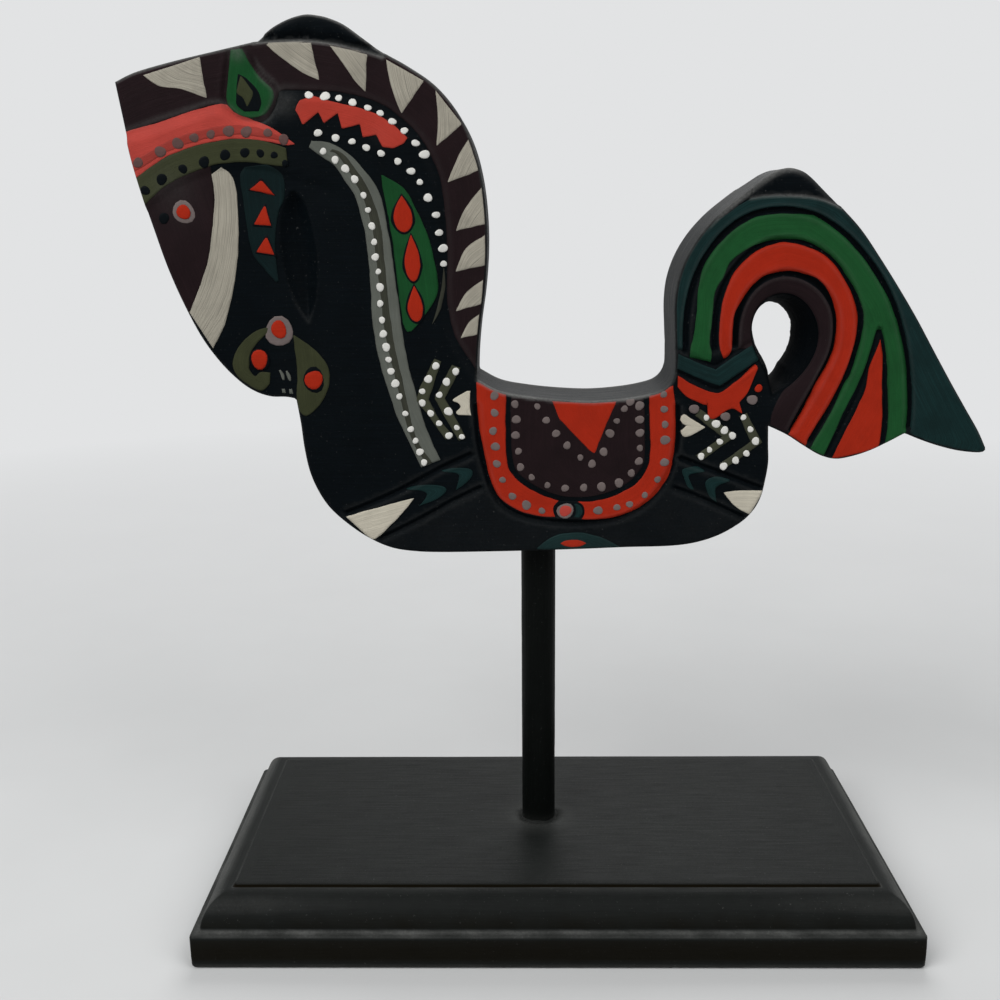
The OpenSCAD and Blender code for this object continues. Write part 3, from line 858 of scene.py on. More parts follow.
def base_piece(material):
    """The base board: one closed section carried round it. Rounded rectangles follow the moulded edge;
    straight rulings then cross the top to the socket's circle, go down to the screw's hole and come
    back over the underside."""
    stand = settings()[1]
    half_x = (BASE_HIGH.x - BASE_LOW.x) / 2 / MM
    half_y = (BASE_HIGH.y - BASE_LOW.y) / 2 / MM
    section = base_section()
    rings = []
    heights = []
    strokes = []
    masks = []

    def add_ring(ring, height, stroke, mask):
        """Adds one ring with its height, its place along the brush and its wear."""
        rings.append(ring)
        heights.append(np.broadcast_to(height, len(ring)))
        strokes.append(stroke)
        masks.append(np.broadcast_to(mask, len(ring)))

    for (inset, z), up in zip(section, run_length(section)):
        corner = max(stand.corner_round / MM - 0.08 * inset, 1.1)
        ring = rect_ring(half_x - inset, half_y - inset, corner)
        stroke = np.stack([run_length(ring), np.full(len(ring), up)], 1)
        add_ring(ring, z, stroke, base_wear_and_light(ring, inset, z, half_x, half_y))
    centre = np.array([PLANE_X, 0.0])
    brink = rings[-1]
    circle = (brink - centre) / np.linalg.norm(brink - centre, axis=1)[:, None]
    for t in np.linspace(0, 1, 27)[1:]:
        ring = brink * (1 - t) + (centre + circle * SOCKET_R) * t
        wave = 0.12 * np.sin(ring[:, 0] / 23) * np.sin(ring[:, 1] / 11) * (1 - t) * min(4 * t, 1)
        mask = 0.4 * bell(np.linalg.norm(ring - centre, axis=1), SOCKET_R, 7)
        add_ring(ring, BASE_TOP + wave, ring, mask)
    holes = [
        (SOCKET_R, 20), (SOCKET_R, SOCKET_FLOOR), (5, SOCKET_FLOOR), (SHANK_R, SOCKET_FLOOR),
        (SHANK_R, 3.15), (HEAD_R, 1.15), (HEAD_R, 0),
    ]
    for radius, z in holes:
        ring = centre + circle * radius
        add_ring(ring, z, ring, 0)
    for t in np.linspace(0, 1, 8)[1:-1]:
        ring = rings[0] * t + (centre + circle * HEAD_R) * (1 - t)
        add_ring(ring, 0, ring, 0)
    flat = np.vstack(rings)
    z = np.concatenate(heights)
    wave = stand.unevenness / MM * np.sin(flat[:, 0] / 19 + 1) * np.sin(flat[:, 1] / 27 + z / 3)
    order = np.arange(len(rings))
    outer = np.repeat((order < len(section)) & (order > 5), len(circle))
    flat = flat * (1 - (np.maximum(wave, 0) * outer)[:, None] / 80)
    points = np.column_stack([flat, z]) * MM
    quads = grid_quads(len(rings), len(circle), wrap_rows=True, wrap_columns=True)
    values = np.column_stack([np.vstack(strokes), np.zeros(len(flat)), np.concatenate(masks)])
    piece = add_piece("base_moulded", points, [quads[:, ::-1]], material, values)
    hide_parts("base_board")
    return piece


# Rings of the post's shaft, points round it, and radius that leaves a point's width at its axis
SHAFT_ROWS, POST_TURNS, AXIS_R = 70, 48, 0.02


def post_piece(material):
    """The post: a profile turned about its axis, with a radius that wanders as brushed paint does and a
    pilot hole for the screw at its foot."""
    stand = settings()[1]
    foot, top = POST_LOW.z / MM, POST_HIGH.z / MM
    pilot = SCREW_TOP + 0.15
    shaft = np.linspace(top - 0.6, foot + 0.6, SHAFT_ROWS)
    head = [(AXIS_R, top), (4, top), (POST_R - 0.5, top)]
    hole = [(SHANK_R, foot), (SHANK_R, 25), (SHANK_R, pilot), (AXIS_R, pilot)]
    profile = np.vstack([
        head,
        np.column_stack([np.full(SHAFT_ROWS, POST_R), shaft]),
        [(POST_R - 0.5, foot), (4, foot)],
        hole,
    ])
    turn = np.linspace(0, 2 * np.pi, POST_TURNS, endpoint=False)
    order = np.arange(len(profile))
    on_shaft = ((order >= len(head)) & (order < len(head) + SHAFT_ROWS))[:, None]
    z = profile[:, 1:]
    rough = stand.unevenness / MM * (wander(z, 3, 47) + np.sin(3 * turn + z / 31)) / 2
    r = profile[:, :1] - on_shaft * np.maximum(rough, 0)
    x = PLANE_X + r * np.cos(turn)
    y = r * np.sin(turn)
    mask = np.broadcast_to(0.3 * bell(z, BASE_TOP, 3), x.shape)
    z = np.broadcast_to(z, x.shape)
    points = np.stack([x, y, z], -1).reshape(-1, 3) * MM
    quads = grid_quads(len(profile), POST_TURNS, wrap_columns=True)
    round_run = np.broadcast_to(turn * POST_R, x.shape)
    values = np.stack([z, round_run, np.zeros(x.shape), mask], -1).reshape(-1, 4)
    first = np.arange(POST_TURNS)[None]
    faces = [quads, first[:, ::-1], first + (len(profile) - 1) * POST_TURNS]
    piece = add_piece("post_turned", points, faces, material, values, outwards=True)
    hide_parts("post")
    return piece


# Section of the bead of glue: shares of its width and, above 0, of its height
BEAD_SECTION = [(0.0, -0.25), (0.0, 1.0), (0.12, 0.82), (0.32, 0.45), (0.62, 0.2), (0.9, 0.1),
                (1.0, -0.25)]


def bead_piece(material):
    """The bead of glue round the foot of the post: a low hollowed section carried round the post, its
    width and height wandering with the turn."""
    turn = np.linspace(0, 2 * np.pi, 72, endpoint=False)[:, None]
    uneven = 0.75 + 0.2 * np.sin(turn + 1) + 0.1 * np.sin(5 * turn) + 0.08 * np.sin(11 * turn)
    wide = settings()[1].bead_width / MM * uneven
    tall = 1.0 + 0.35 * np.sin(3 * turn + 0.4) + 0.2 * np.sin(7 * turn)
    out, up = np.array(BEAD_SECTION).T[:, None]
    r = POST_R - 0.12 + out * wide
    z = BASE_TOP + np.where(up < 0, up, up * tall)
    x = PLANE_X + r * np.cos(turn)
    y = r * np.sin(turn)
    points = np.stack([x, y, z], -1).reshape(-1, 3) * MM
    quads = grid_quads(len(turn), len(BEAD_SECTION), wrap_rows=True, wrap_columns=True)
    values = np.stack([x, y, np.zeros(x.shape), np.full(x.shape, 0.5)], -1).reshape(-1, 4)
    return add_piece("post_bead", points, [quads], material, values, outwards=True)


def new_group(name, inputs, outputs):
    """An empty shader node group with named sockets, and its two end nodes."""
    tree = bpy.data.node_groups.new(name, "ShaderNodeTree")
    for label, kind, value in inputs:
        socket = tree.interface.new_socket(label, in_out="INPUT", socket_type=kind)
        if value is not None:
            socket.default_value = value
    for label, kind in outputs:
        tree.interface.new_socket(label, in_out="OUTPUT", socket_type=kind)
    return tree, tree.nodes.new("NodeGroupInput"), tree.nodes.new("NodeGroupOutput")


def noise(tree, vector, stretch, detail=3.0, rough=0.55):
    """Noise over a vector stretched by three factors; gives the value socket."""
    mapping = tree.nodes.new("ShaderNodeMapping")
    mapping.inputs["Scale"].default_value = stretch
    tree.links.new(vector, mapping.inputs["Vector"])
    texture = tree.nodes.new("ShaderNodeTexNoise")
    texture.inputs["Scale"].default_value = 1.0
    texture.inputs["Detail"].default_value = detail
    texture.inputs["Roughness"].default_value = rough
    tree.links.new(mapping.outputs["Vector"], texture.inputs["Vector"])
    return texture.outputs["Fac"]


def remap(tree, value, low, high, to_low=0.0, to_high=1.0):
    """A value moved from one range to another and clipped to it."""
    node = tree.nodes.new("ShaderNodeMapRange")
    for label, number in (("From Min", low), ("From Max", high), ("To Min", to_low), ("To Max", to_high)):
        node.inputs[label].default_value = number
    tree.links.new(value, node.inputs["Value"])
    return node.outputs["Result"]


def maths(tree, kind, a, b):
    """One step of arithmetic on two values or sockets."""
    node = tree.nodes.new("ShaderNodeMath")
    node.operation = kind
    for socket, value in zip(node.inputs, (a, b)):
        if isinstance(value, (int, float)):
            socket.default_value = value
        else:
            tree.links.new(value, socket)
    return node.outputs["Value"]


def blend(tree, factor, a, b):
    """A mix of two colours or colour sockets."""
    node = tree.nodes.new("ShaderNodeMix")
    node.data_type = "RGBA"
    tree.links.new(factor, node.inputs[0])
    for socket, value in ((node.inputs[6], a), (node.inputs[7], b)):
        if isinstance(value, tuple):
            socket.default_value = value
        else:
            tree.links.new(value, socket)
    return node.outputs[2]


COLOUR, NUMBER, VECTOR = "NodeSocketColor", "NodeSocketFloat", "NodeSocketVector"


def stroke_group():
    """Brushed paint: long thin streaks along the stroke, blotches across it, and the height of both."""
    name = "Brush Strokes"
    if name in bpy.data.node_groups:
        return bpy.data.node_groups[name]
    tree, source, sink = new_group(
        name,
        [
            ("Stroke", VECTOR, None), ("Place", VECTOR, None), ("Paint", COLOUR, None),
            ("Streak Paint", COLOUR, None), ("Blotch Paint", COLOUR, None), ("Streaks", NUMBER, 0.5),
            ("Blotches", NUMBER, 0.4), ("Thin Rim", NUMBER, 0.2),
        ],
        [("Paint", COLOUR), ("Roughness", NUMBER), ("Height", NUMBER)],
    )
    given = source.outputs
    hair = noise(tree, given["Stroke"], (0.035, 2.4, 0.0), 4.0, 0.65)
    broad = noise(tree, given["Stroke"], (0.05, 0.7, 0.0), 2.0, 0.5)
    cloud = noise(tree, given["Place"], (95.0, 95.0, 95.0), 3.0, 0.6)
    grit = noise(tree, given["Place"], (1500.0, 1500.0, 1500.0), 2.0, 0.6)
    streak = maths(tree, "MULTIPLY", remap(tree, hair, 0.45, 0.68), given["Streaks"])
    blotch = maths(tree, "MULTIPLY", remap(tree, cloud, 0.42, 0.7), given["Blotches"])
    split = tree.nodes.new("ShaderNodeSeparateXYZ")
    tree.links.new(given["Stroke"], split.inputs["Vector"])
    rim = maths(tree, "MULTIPLY", remap(tree, split.outputs["Z"], 0.45, 1.0), given["Thin Rim"])
    tone = blend(tree, streak, given["Paint"], given["Streak Paint"])
    tone = blend(tree, blotch, tone, given["Blotch Paint"])
    tone = blend(tree, rim, tone, given["Blotch Paint"])
    tree.links.new(tone, sink.inputs["Paint"])
    coarse = remap(tree, broad, 0.3, 0.7, 0.4, 0.52)
    rough = maths(tree, "ADD", coarse, remap(tree, grit, 0.3, 0.7, -0.04, 0.05))
    tree.links.new(rough, sink.inputs["Roughness"])
    lay = maths(tree, "ADD", maths(tree, "MULTIPLY", hair, 0.8), maths(tree, "MULTIPLY", broad, 0.8))
    tree.links.new(maths(tree, "ADD", lay, maths(tree, "MULTIPLY", grit, 0.25)), sink.inputs["Height"])
    return tree


def wear_and_light_group():
    """Wear and painted light: where a mask is above 0, broken by fine noise, the paint gives way to a
    pale tone of dusty wear and painted highlight, and where it is below 0 it is darker with painted shade."""
    name = "Handling Wear"
    if name in bpy.data.node_groups:
        return bpy.data.node_groups[name]
    tree, source, sink = new_group(
        name,
        [
            ("Place", VECTOR, None), ("Paint", COLOUR, None), ("Dust", COLOUR, None),
            ("Pool", COLOUR, None), ("Edge", NUMBER, 0.0), ("Amount", NUMBER, 0.5), ("Specks", NUMBER, 0.15),
        ],
        [("Paint", COLOUR), ("Matt", NUMBER)],
    )
    given = source.outputs
    soft = noise(tree, given["Place"], (60.0, 60.0, 60.0), 4.0, 0.6)
    fine = noise(tree, given["Place"], (900.0, 900.0, 900.0), 3.0, 0.7)
    patchy = remap(tree, soft, 0.3, 0.7, 0.45, 1.0)
    patch = maths(tree, "MULTIPLY", patchy, remap(tree, fine, 0.35, 0.65, 0.6, 1.0))
    # Above 0: dusty wear and painted highlight
    dust_and_painted_light = maths(tree, "MAXIMUM", given["Edge"], 0.0)
    edge = maths(tree, "MULTIPLY", maths(tree, "MULTIPLY", dust_and_painted_light, patch), given["Amount"])
    speck = maths(tree, "MULTIPLY", remap(tree, fine, 0.66, 0.74), given["Specks"])
    wear_and_light = maths(tree, "MINIMUM", maths(tree, "ADD", edge, speck), 1.0)
    tone = blend(tree, wear_and_light, given["Paint"], given["Dust"])
    # Below 0: painted shade
    painted_shade = remap(tree, given["Edge"], 0.0, -1.0)
    tree.links.new(blend(tree, painted_shade, tone, given["Pool"]), sink.inputs["Paint"])
    tree.links.new(maths(tree, "MAXIMUM", wear_and_light, painted_shade), sink.inputs["Matt"])
    return tree


def new_material(name):
    """An empty material with its tree, its shader and the object's coordinates."""
    material = bpy.data.materials.new(name)
    material.use_nodes = True
    tree = material.node_tree
    place = tree.nodes.new("ShaderNodeTexCoord")
    return material, tree, tree.nodes["Principled BSDF"], place.outputs["Object"]


def stored(tree, name, socket):
    """A value stored on the points of a mesh."""
    node = tree.nodes.new("ShaderNodeAttribute")
    node.attribute_name = name
    return node.outputs[socket]


def use_group(tree, group, **inputs):
    """A node of a group; inputs are sockets to link or constants to set, named with _ for a space."""
    node = tree.nodes.new("ShaderNodeGroup")
    node.node_tree = group
    for label, value in inputs.items():
        socket = node.inputs[label.replace("_", " ")]
        if isinstance(value, bpy.types.NodeSocket):
            tree.links.new(value, socket)
        else:
            socket.default_value = value
    return node.outputs


def raise_bump(tree, shader, height, strength, distance):
    """Joins a height to the shader's normal through a bump of a set distance in metres."""
    bump = tree.nodes.new("ShaderNodeBump")
    bump.inputs["Strength"].default_value = strength
    bump.inputs["Distance"].default_value = distance
    tree.links.new(height, bump.inputs["Height"])
    tree.links.new(bump.outputs["Normal"], shader.inputs["Normal"])


def tinted(colour, factor, towards=(0.5, 0.5, 0.5), share=0.0):
    """A display colour made lighter or darker by a factor and drawn part of the way towards another."""
    c = np.clip(np.array(colour[:3]) * factor, 0, 1)
    return tuple(c * (1 - share) + np.array(towards[:3]) * share)


def paint_finish(name, colour, streaks=0.5, blotches=0.35, rim=0.25, light=1.25, dark=0.72, bump=0.35,
                 gloss=0.035, dust_and_sheen=None, shade_colour=None, wear=0.7, specks=0.04):
    """A brushed paint: its colour broken by lighter streaks and darker blotches, thin at its rim, pale with
    dusty wear and painted highlight where its mask is above 0, with fine specks, and darker with painted
    shade where the mask is below 0."""
    if name in bpy.data.materials:
        return bpy.data.materials[name]
    material, tree, shader, place = new_material(name)
    coat = use_group(
        tree, stroke_group(), Stroke=stored(tree, "brush", "Vector"), Place=place, Paint=linear(colour),
        Streak_Paint=linear(tinted(colour, light)), Blotch_Paint=linear(tinted(colour, dark)),
        Streaks=streaks, Blotches=blotches, Thin_Rim=rim,
    )
    rub = use_group(
        tree, wear_and_light_group(), Place=place, Paint=coat["Paint"], Dust=linear(dust_and_sheen or settings()[2].dust_and_painted_light),
        Pool=linear(shade_colour or tinted(colour, 0.4)), Edge=stored(tree, "dust_and_painted_light", "Fac"), Amount=wear,
        Specks=specks,
    )
    tree.links.new(rub["Paint"], shader.inputs["Base Color"])
    rough = maths(tree, "ADD", coat["Roughness"], maths(tree, "MULTIPLY", rub["Matt"], 0.45))
    tree.links.new(rough, shader.inputs["Roughness"])
    shader.inputs["Specular IOR Level"].default_value = gloss
    raise_bump(tree, shader, coat["Height"], bump, 0.0004)
    return material


def steel_finish(name, colour):
    """Zinc-plated steel: cloudy plating with fine scratches in the colour and the roughness."""
    material, tree, shader, place = new_material(name)
    cloud = noise(tree, place, (400.0, 400.0, 400.0), 3.0)
    scratch = noise(tree, place, (300.0, 4000.0, 300.0), 2.0)
    tone = blend(tree, remap(tree, cloud, 0.35, 0.65), linear(colour), linear(tinted(colour, 0.8)))
    tree.links.new(tone, shader.inputs["Base Color"])
    tree.links.new(remap(tree, scratch, 0.3, 0.7, 0.25, 0.45), shader.inputs["Roughness"])
    shader.inputs["Metallic"].default_value = 1.0
    raise_bump(tree, shader, scratch, 0.2, 0.0001)
    return material


class BuildBoard(bpy.types.Operator):
    """Carve the horse's board with its rounded edges, cuts, hollow and humps"""

    bl_idname = "horse.board"
    bl_label = "Carved board"

    def execute(self, context):
        ground = settings()[2].ground
        # Pale tone for dusty wear and painted highlight, darker tone for painted shade in the cuts, the
        # cheek's hollow and the opening
        board_piece(paint_finish("board_black", ground, 0.5, 0.5, 0, 1.7, 0.75, 0.4, 0.022, specks=0.24))
        return {"FINISHED"}


def grown(edges, centre, by):
    """The edges of a shape moved away from its centre by a distance."""
    moved = []
    for edge in edges:
        away = np.asarray(edge, float) - centre
        size = np.maximum(np.linalg.norm(away, axis=1), 1e-6)[:, None]
        moved.append(np.asarray(centre) + away * (1 + by / size))
    return tuple(moved)


def lined(shapes, by):
    """Shapes grown from their middles, for a dark line round each."""
    return [grown(edges, np.vstack(edges).mean(0), by) for edges in shapes]


def drop(centre, top, bottom, half):
    """Two edges of a drop: pointed at the top, widest below its middle, round at the foot."""
    tall = top - bottom
    steps = np.array([0, 0.18, 0.4, 0.64, 0.84, 0.96, 1])
    wide = half * np.array([0, 0.42, 0.82, 1, 0.78, 0.4, 0])
    w = top - tall * steps
    lean = -0.6 * np.linspace(1, 0, len(steps))
    return np.stack([centre + lean - wide, w], 1), np.stack([centre + lean + wide, w], 1)


def tooth(outer, inner, tip, via=()):
    """Two sides of a tooth of the mane, from the rim to its tip."""
    return [outer, *via, tip], [inner, tip]


TEETH = [
    tooth((-151.4, 190.3), (-128.6, 196.6), (-127, 181.5), [(-145, 186), (-137, 185)]),
    tooth((-104, 201.2), (-86, 201.6), (-83.5, 187.5), [(-98, 196), (-90, 190.5)]),
    tooth((-79.5, 200.3), (-64.7, 197.2), (-66, 183), [(-74, 193), (-70, 187.3)]),
    tooth((-58, 195.2), (-43.2, 187), (-52.5, 175), [(-56.4, 185.5)]),
    tooth((-39.4, 184), (-29, 171), (-39.4, 163), [(-38.6, 174)]),
    tooth((-26.8, 166), (-22.6, 153.8), (-35.5, 149.4), [(-31, 159.5)]),
    tooth((-21.4, 148.4), (-20.3, 133.6), (-32.5, 131), [(-28.6, 140)]),
    tooth((-20.5, 130), (-20.5, 117.7), (-33, 115.3), [(-28.6, 124.4)]),
    tooth((-21.4, 112.7), (-22.4, 102.5), (-33.2, 99.8), [(-28.6, 107.4)]),
    tooth((-23.2, 98.9), (-24.2, 90.5), (-31.5, 89), [(-28, 95.5)]),
]
EAR = (
    [(-116.8, 199.3), (-118.6, 189), (-119.5, 180), (-115.5, 175.5), (-110.3, 174.1)],
    [(-112.7, 199.6), (-107, 190), (-101.4, 184), (-101.8, 180), (-105, 175.5), (-109.6, 174.1)],
)
EAR_HOLLOW = (
    [(-114.5, 190.5), (-115.6, 183.6), (-116, 179), (-112.7, 176.4)],
    [(-111.8, 189), (-107.3, 184.5), (-106, 180), (-107.3, 176.4)],
)
EAR_CORE = (
    [(-113.6, 189.5), (-115.5, 183.6), (-113.2, 181.4), (-111.8, 178.2)],
    [(-113.4, 189.5), (-110, 185.5), (-109, 182.7), (-111.6, 178.2)],
)
BROW_TOP = [
    (-160.2, 169.6), (-147.3, 172.7), (-133.6, 176.8), (-124.5, 179), (-120, 179.5), (-116.4, 176),
    (-110, 173.6), (-101.8, 170), (-94, 164.5),
]
BROW_FOOT = [
    (-157.6, 151.4), (-150, 156.4), (-142.7, 160.5), (-133.6, 163.5), (-124.5, 165.5), (-115.5, 166.4),
    (-106.4, 165.5), (-97.3, 164), (-94, 164.2),
]
# Darker band of faded red behind the brow's studs: painted shade of the studs
BROW_SHADE = (
    [(-158.4, 158.4), (-150, 162.2), (-142.7, 166), (-133.6, 169), (-124.5, 171), (-115.5, 171.6),
     (-106.4, 170.2), (-97.6, 166.6)],
    [(-157.8, 153.8), (-150, 158.1), (-142.7, 162), (-133.6, 165), (-124.5, 167), (-115.5, 167.8),
     (-106.4, 166.7), (-97.4, 165.2)],
)
BROW_STUDS = [
    (-155, 158, 2.0), (-146, 162, 2.2), (-139, 165, 2.2), (-132.5, 167, 1.8), (-126, 168.2, 1.7),
    (-119, 169.3, 2.2), (-112.3, 169, 2.2), (-104, 168.5, 1.7), (-98, 166, 2.0),
]
CHEEK_BAND_TOP = [
    (-157.5, 151.5), (-150, 156.5), (-142.7, 160.6), (-133.6, 163.6), (-124.5, 165.6), (-115.5, 166.5),
    (-106.4, 165.6), (-97.3, 163),
]
CHEEK_BAND_FOOT = [
    (-154.8, 141.4), (-149, 146.4), (-141, 151.4), (-129, 156), (-119, 157.7), (-111, 157.7),
    (-102.7, 156.4), (-97, 156.4),
]
CHEEK_STUDS = [
    (-153.2, 147.6, 1.9), (-146.3, 151.7, 2.2), (-137.7, 155.5, 1.8), (-129.3, 158, 2.2),
    (-121, 160.5, 2.1), (-113.3, 161.3, 1.9), (-107.3, 161, 1.6), (-102, 160.3, 1.4),
    (-98, 157.2, 1.3),
]
FACE_SIDE = [(-127, 153.5), (-126.5, 145), (-128, 133), (-130, 123), (-133.5, 113), (-137, 105.5)]
FACE_PANEL = (
    [(-156.6, 149), (-155, 144), (-151.4, 131), (-146.8, 116), (-141.4, 102.3), (-139.4, 99.5)],
    [(-127, 158), *FACE_SIDE, (-139.3, 100.5)],
)
BLAZE = (
    [*FACE_SIDE, (-139.5, 100.5)],
    [(-123, 156), (-118.4, 151), (-117.6, 135), (-118.4, 125), (-121, 110.5), (-126, 95), (-131, 86)],
)
CHEEK_PATCH = (
    [(-114, 156), (-116, 152), (-115, 140), (-114, 130), (-112.5, 123), (-108.5, 117), (-104, 112)],
    [(-105, 157), (-99.5, 153), (-99, 145), (-101.5, 139), (-103.2, 131), (-103.6, 122), (-103, 112.5)],
)
CHEEK_MARKS = [
    ([(-108, 151), (-113, 147.3)], [(-107.6, 151), (-102.7, 145.3)]),
    ([(-107, 141.5), (-112, 134)], [(-106.6, 141.5), (-104.6, 133.5)]),
    ([(-107, 129.5), (-111.5, 123.5)], [(-106.6, 129.5), (-103.8, 122.3)]),
]
MOUTH = [
    (
        [(-107.5, 94.5), (-114, 92.5), (-119, 88.5), (-122.5, 83.5), (-123.5, 79), (-122, 75),
         (-118, 71.5), (-112.5, 68.6), (-109, 71.5)],
        [(-107.5, 92.5), (-110, 91), (-113.5, 87.5), (-116, 84), (-117, 79), (-116.3, 76.5),
         (-114.6, 74.7), (-112.5, 76.3), (-108.5, 76)],
    ),
    (
        [(-98.5, 91), (-98, 84), (-97.5, 76), (-98.4, 67), (-97.6, 61), (-96, 58.5)],
        [(-98, 91), (-93, 87.5), (-88, 83), (-85, 78), (-84.5, 73), (-86, 68), (-89, 63),
         (-92.5, 59.4), (-95, 58.2)],
    ),
]
FACE_DISCS = [(-139, 139.3, 4.7), (-104, 92.6, 6.0)]
MOUTH_RINGS = [(-112.5, 81.5, 4.0), (-91, 73, 4.6)]
FACE_SPOTS = [(-139, 139.3, 2.7), (-104, 93.4, 3.2), (-112.5, 81.5, 3.5), (-91, 73, 3.6)]
TOOTH_MARKS = [
    ([(-105, 77), (-104.3, 74.8), (-103.7, 73)], [(-104.3, 77.2), (-103, 75.2), (-102.9, 73)]),
    ([(-102.3, 76.6), (-101.8, 74.4), (-101, 72.6)], [(-101.6, 76.8), (-100.4, 74.8), (-100.3, 72.7)]),
    ([(-104.2, 69.4), (-104.1, 67.8)], [(-103, 69.5), (-102.6, 67.7)]),
    ([(-101.3, 69.3), (-101.2, 67.4)], [(-100.1, 69.4), (-99.7, 67.3)]),
]
SCALLOP = (
    [(-92.6, 178), (-91.2, 180.2), (-86.4, 182), (-80, 180), (-70, 177.7), (-61.8, 175), (-55.5, 171),
     (-50.5, 166.4)],
    [(-93, 176.6), (-91.8, 174.5), (-90.5, 171.2), (-84.2, 175.9), (-82.3, 171.8), (-76.8, 175.5),
     (-75.5, 169.6), (-68.4, 171.4), (-67.5, 166.5), (-62.3, 167.3), (-60, 162.8), (-56, 162.2),
     (-52, 164), (-50.4, 166)],
)
MANE_BEADS = [
    (-87.7, 182.2), (-81.5, 181.7), (-76.3, 181), (-71, 179.3), (-65.2, 177.3), (-60.5, 175.3),
    (-56, 172.2), (-51.5, 168.8), (-47.3, 164.2), (-44, 160), (-84.7, 168.3), (-78, 166.4),
    (-71.7, 165), (-66.3, 162.7), (-60.7, 160.5), (-54.3, 157.5), (-49.3, 153.8), (-46, 149.7),
    (-43, 143.8), (-40, 137.3), (-39, 130.5), (-37.6, 124.5), (-37.5, 118.5),
]
MANE_SLIVER = (
    [(-37.6, 117), (-38.5, 110), (-40.5, 101), (-42.6, 95)],
    [(-37.4, 117), (-37.1, 110), (-39, 101), (-42.4, 95)],
)
STRAP = (
    [(-88.5, 163), (-83.6, 159.5), (-79, 156.4), (-75.5, 151), (-71.8, 145.5), (-70, 140), (-68, 130),
     (-67, 120), (-66.7, 110), (-66.5, 100), (-66, 92), (-64.5, 82), (-61.4, 70), (-58.2, 59),
     (-53.6, 48.2), (-48.6, 36.4)],
    [(-87.3, 165.5), (-81, 164.8), (-77, 163), (-71, 158.4), (-65.5, 152), (-61.6, 145), (-59, 132),
     (-57.5, 120), (-56.4, 110), (-55.3, 100), (-54.4, 91), (-53, 81), (-50.5, 70), (-48, 60),
     (-45, 50), (-40.4, 39.6)],
)
STRAP_STRIPE = (
    [(-80.5, 161.5), (-77, 159.4), (-70.5, 148.5), (-67, 140), (-65, 130), (-63.2, 110), (-61.4, 90),
     (-57.3, 70), (-52.7, 50), (-46.4, 37.6)],
    [(-79.4, 162.4), (-74.4, 159.8), (-67, 149.2), (-63.2, 140), (-61.2, 130), (-60, 110),
     (-58.2, 90), (-54.5, 70), (-50.4, 50), (-43.8, 38.4)],
)
STRAP_BEADS = [
    (-83, 161.5), (-78.5, 158.3), (-74.7, 155), (-71.2, 151), (-68, 145), (-66.5, 139.4),
    (-65.2, 133.3), (-64.5, 127.2), (-64.3, 121.4), (-63.3, 115.8), (-62.8, 109.7), (-63, 103.3),
    (-62.5, 96.8), (-62.2, 91.3), (-61.2, 86), (-60.4, 81), (-59.6, 76.3), (-58, 71.3), (-56.5, 66),
    (-54.3, 59), (-52.3, 52.5), (-50.5, 47.7), (-48.8, 43), (-47.2, 38.6),
]
LEAF = (
    [(-61, 152.5), (-60, 145), (-58.5, 135), (-57, 125), (-56, 112), (-55, 103), (-54, 95), (-52.6, 92)],
    [(-60, 152.3), (-52, 147), (-47, 138), (-43, 128), (-40.6, 117), (-40.2, 107), (-46, 97.6),
     (-51, 92.2)],
)
LEAF_DROPS = [drop(-52.6, 144.8, 130.8, 4), drop(-49.4, 130, 111.8, 3.3), drop(-48.7, 110.3, 96, 3.2)]
BREAST_WEDGE = (
    [(-80.4, 15.6), (-61.8, 20.9), (-51.8, 23.4)],
    [(-70.5, 5.7), (-67.3, 6.8), (-58.2, 15.5), (-51.9, 23.2)],
)
BREAST_MARKS = [
    ([(-55, 27.3), (-49, 29), (-41, 28.6), (-38.2, 26.8), (-41.8, 23.2), (-50, 20)],
     [(-54.8, 27), (-48.2, 26.4), (-46.4, 24.5), (-49.8, 20)]),
    ([(-40, 35), (-34.5, 36.2), (-28.2, 35.5), (-27.7, 32.7), (-31, 29), (-34.5, 26.8)],
     [(-39.8, 34.7), (-33.6, 33.6), (-33.2, 31), (-34.3, 26.9)]),
]
CHEVRONS = [
    ([(-42, 81.2), (-48.2, 69.5), (-49.8, 64), (-46, 59.4), (-38.2, 48)],
     [(-39.2, 80), (-43.4, 68.4), (-44.6, 64.6), (-41, 57), (-34.8, 49)]),
    ([(-35, 78.6), (-42.4, 65), (-32.8, 47.4)], [(-31.6, 77.4), (-38, 65), (-29.8, 48.8)]),
    ([(65.2, 60), (80.6, 48.8), (66.8, 38.8)], [(63.4, 57.2), (74.6, 48.4), (64.2, 40.6)]),
    ([(84.4, 58.2), (91, 46), (75.6, 34.4)], [(81.2, 56.8), (86.4, 46.4), (74, 37)]),
]
CHEVRON_BEADS = [
    (-41.5, 78.3), (-44.6, 73), (-47.2, 68), (-47.3, 63.3), (-44, 59), (-40.7, 54.8), (-36.8, 49.7),
    (-33.5, 76), (-37.3, 71.8), (-40.3, 66.5), (-36.8, 59.7), (-33.5, 53), (-31.5, 49.2), (68, 56.4),
    (72, 53.8), (75.5, 51.1), (78.8, 48.9), (73.8, 46.4), (69.7, 43.1), (66.4, 40.4), (83, 56.4),
    (86, 51.5), (88.3, 46.6), (84.8, 41.5), (80.5, 38.6), (75.7, 36.2),
]
BOW = ([(-29, 68), (-34.8, 64.5), (-32.7, 63), (-31.8, 61.4), (-33.6, 59.3), (-32.7, 58.2)],
       [(-27.7, 68), (-27.9, 66), (-28, 63.5), (-28, 61.8), (-27.8, 60), (-27.5, 58)])
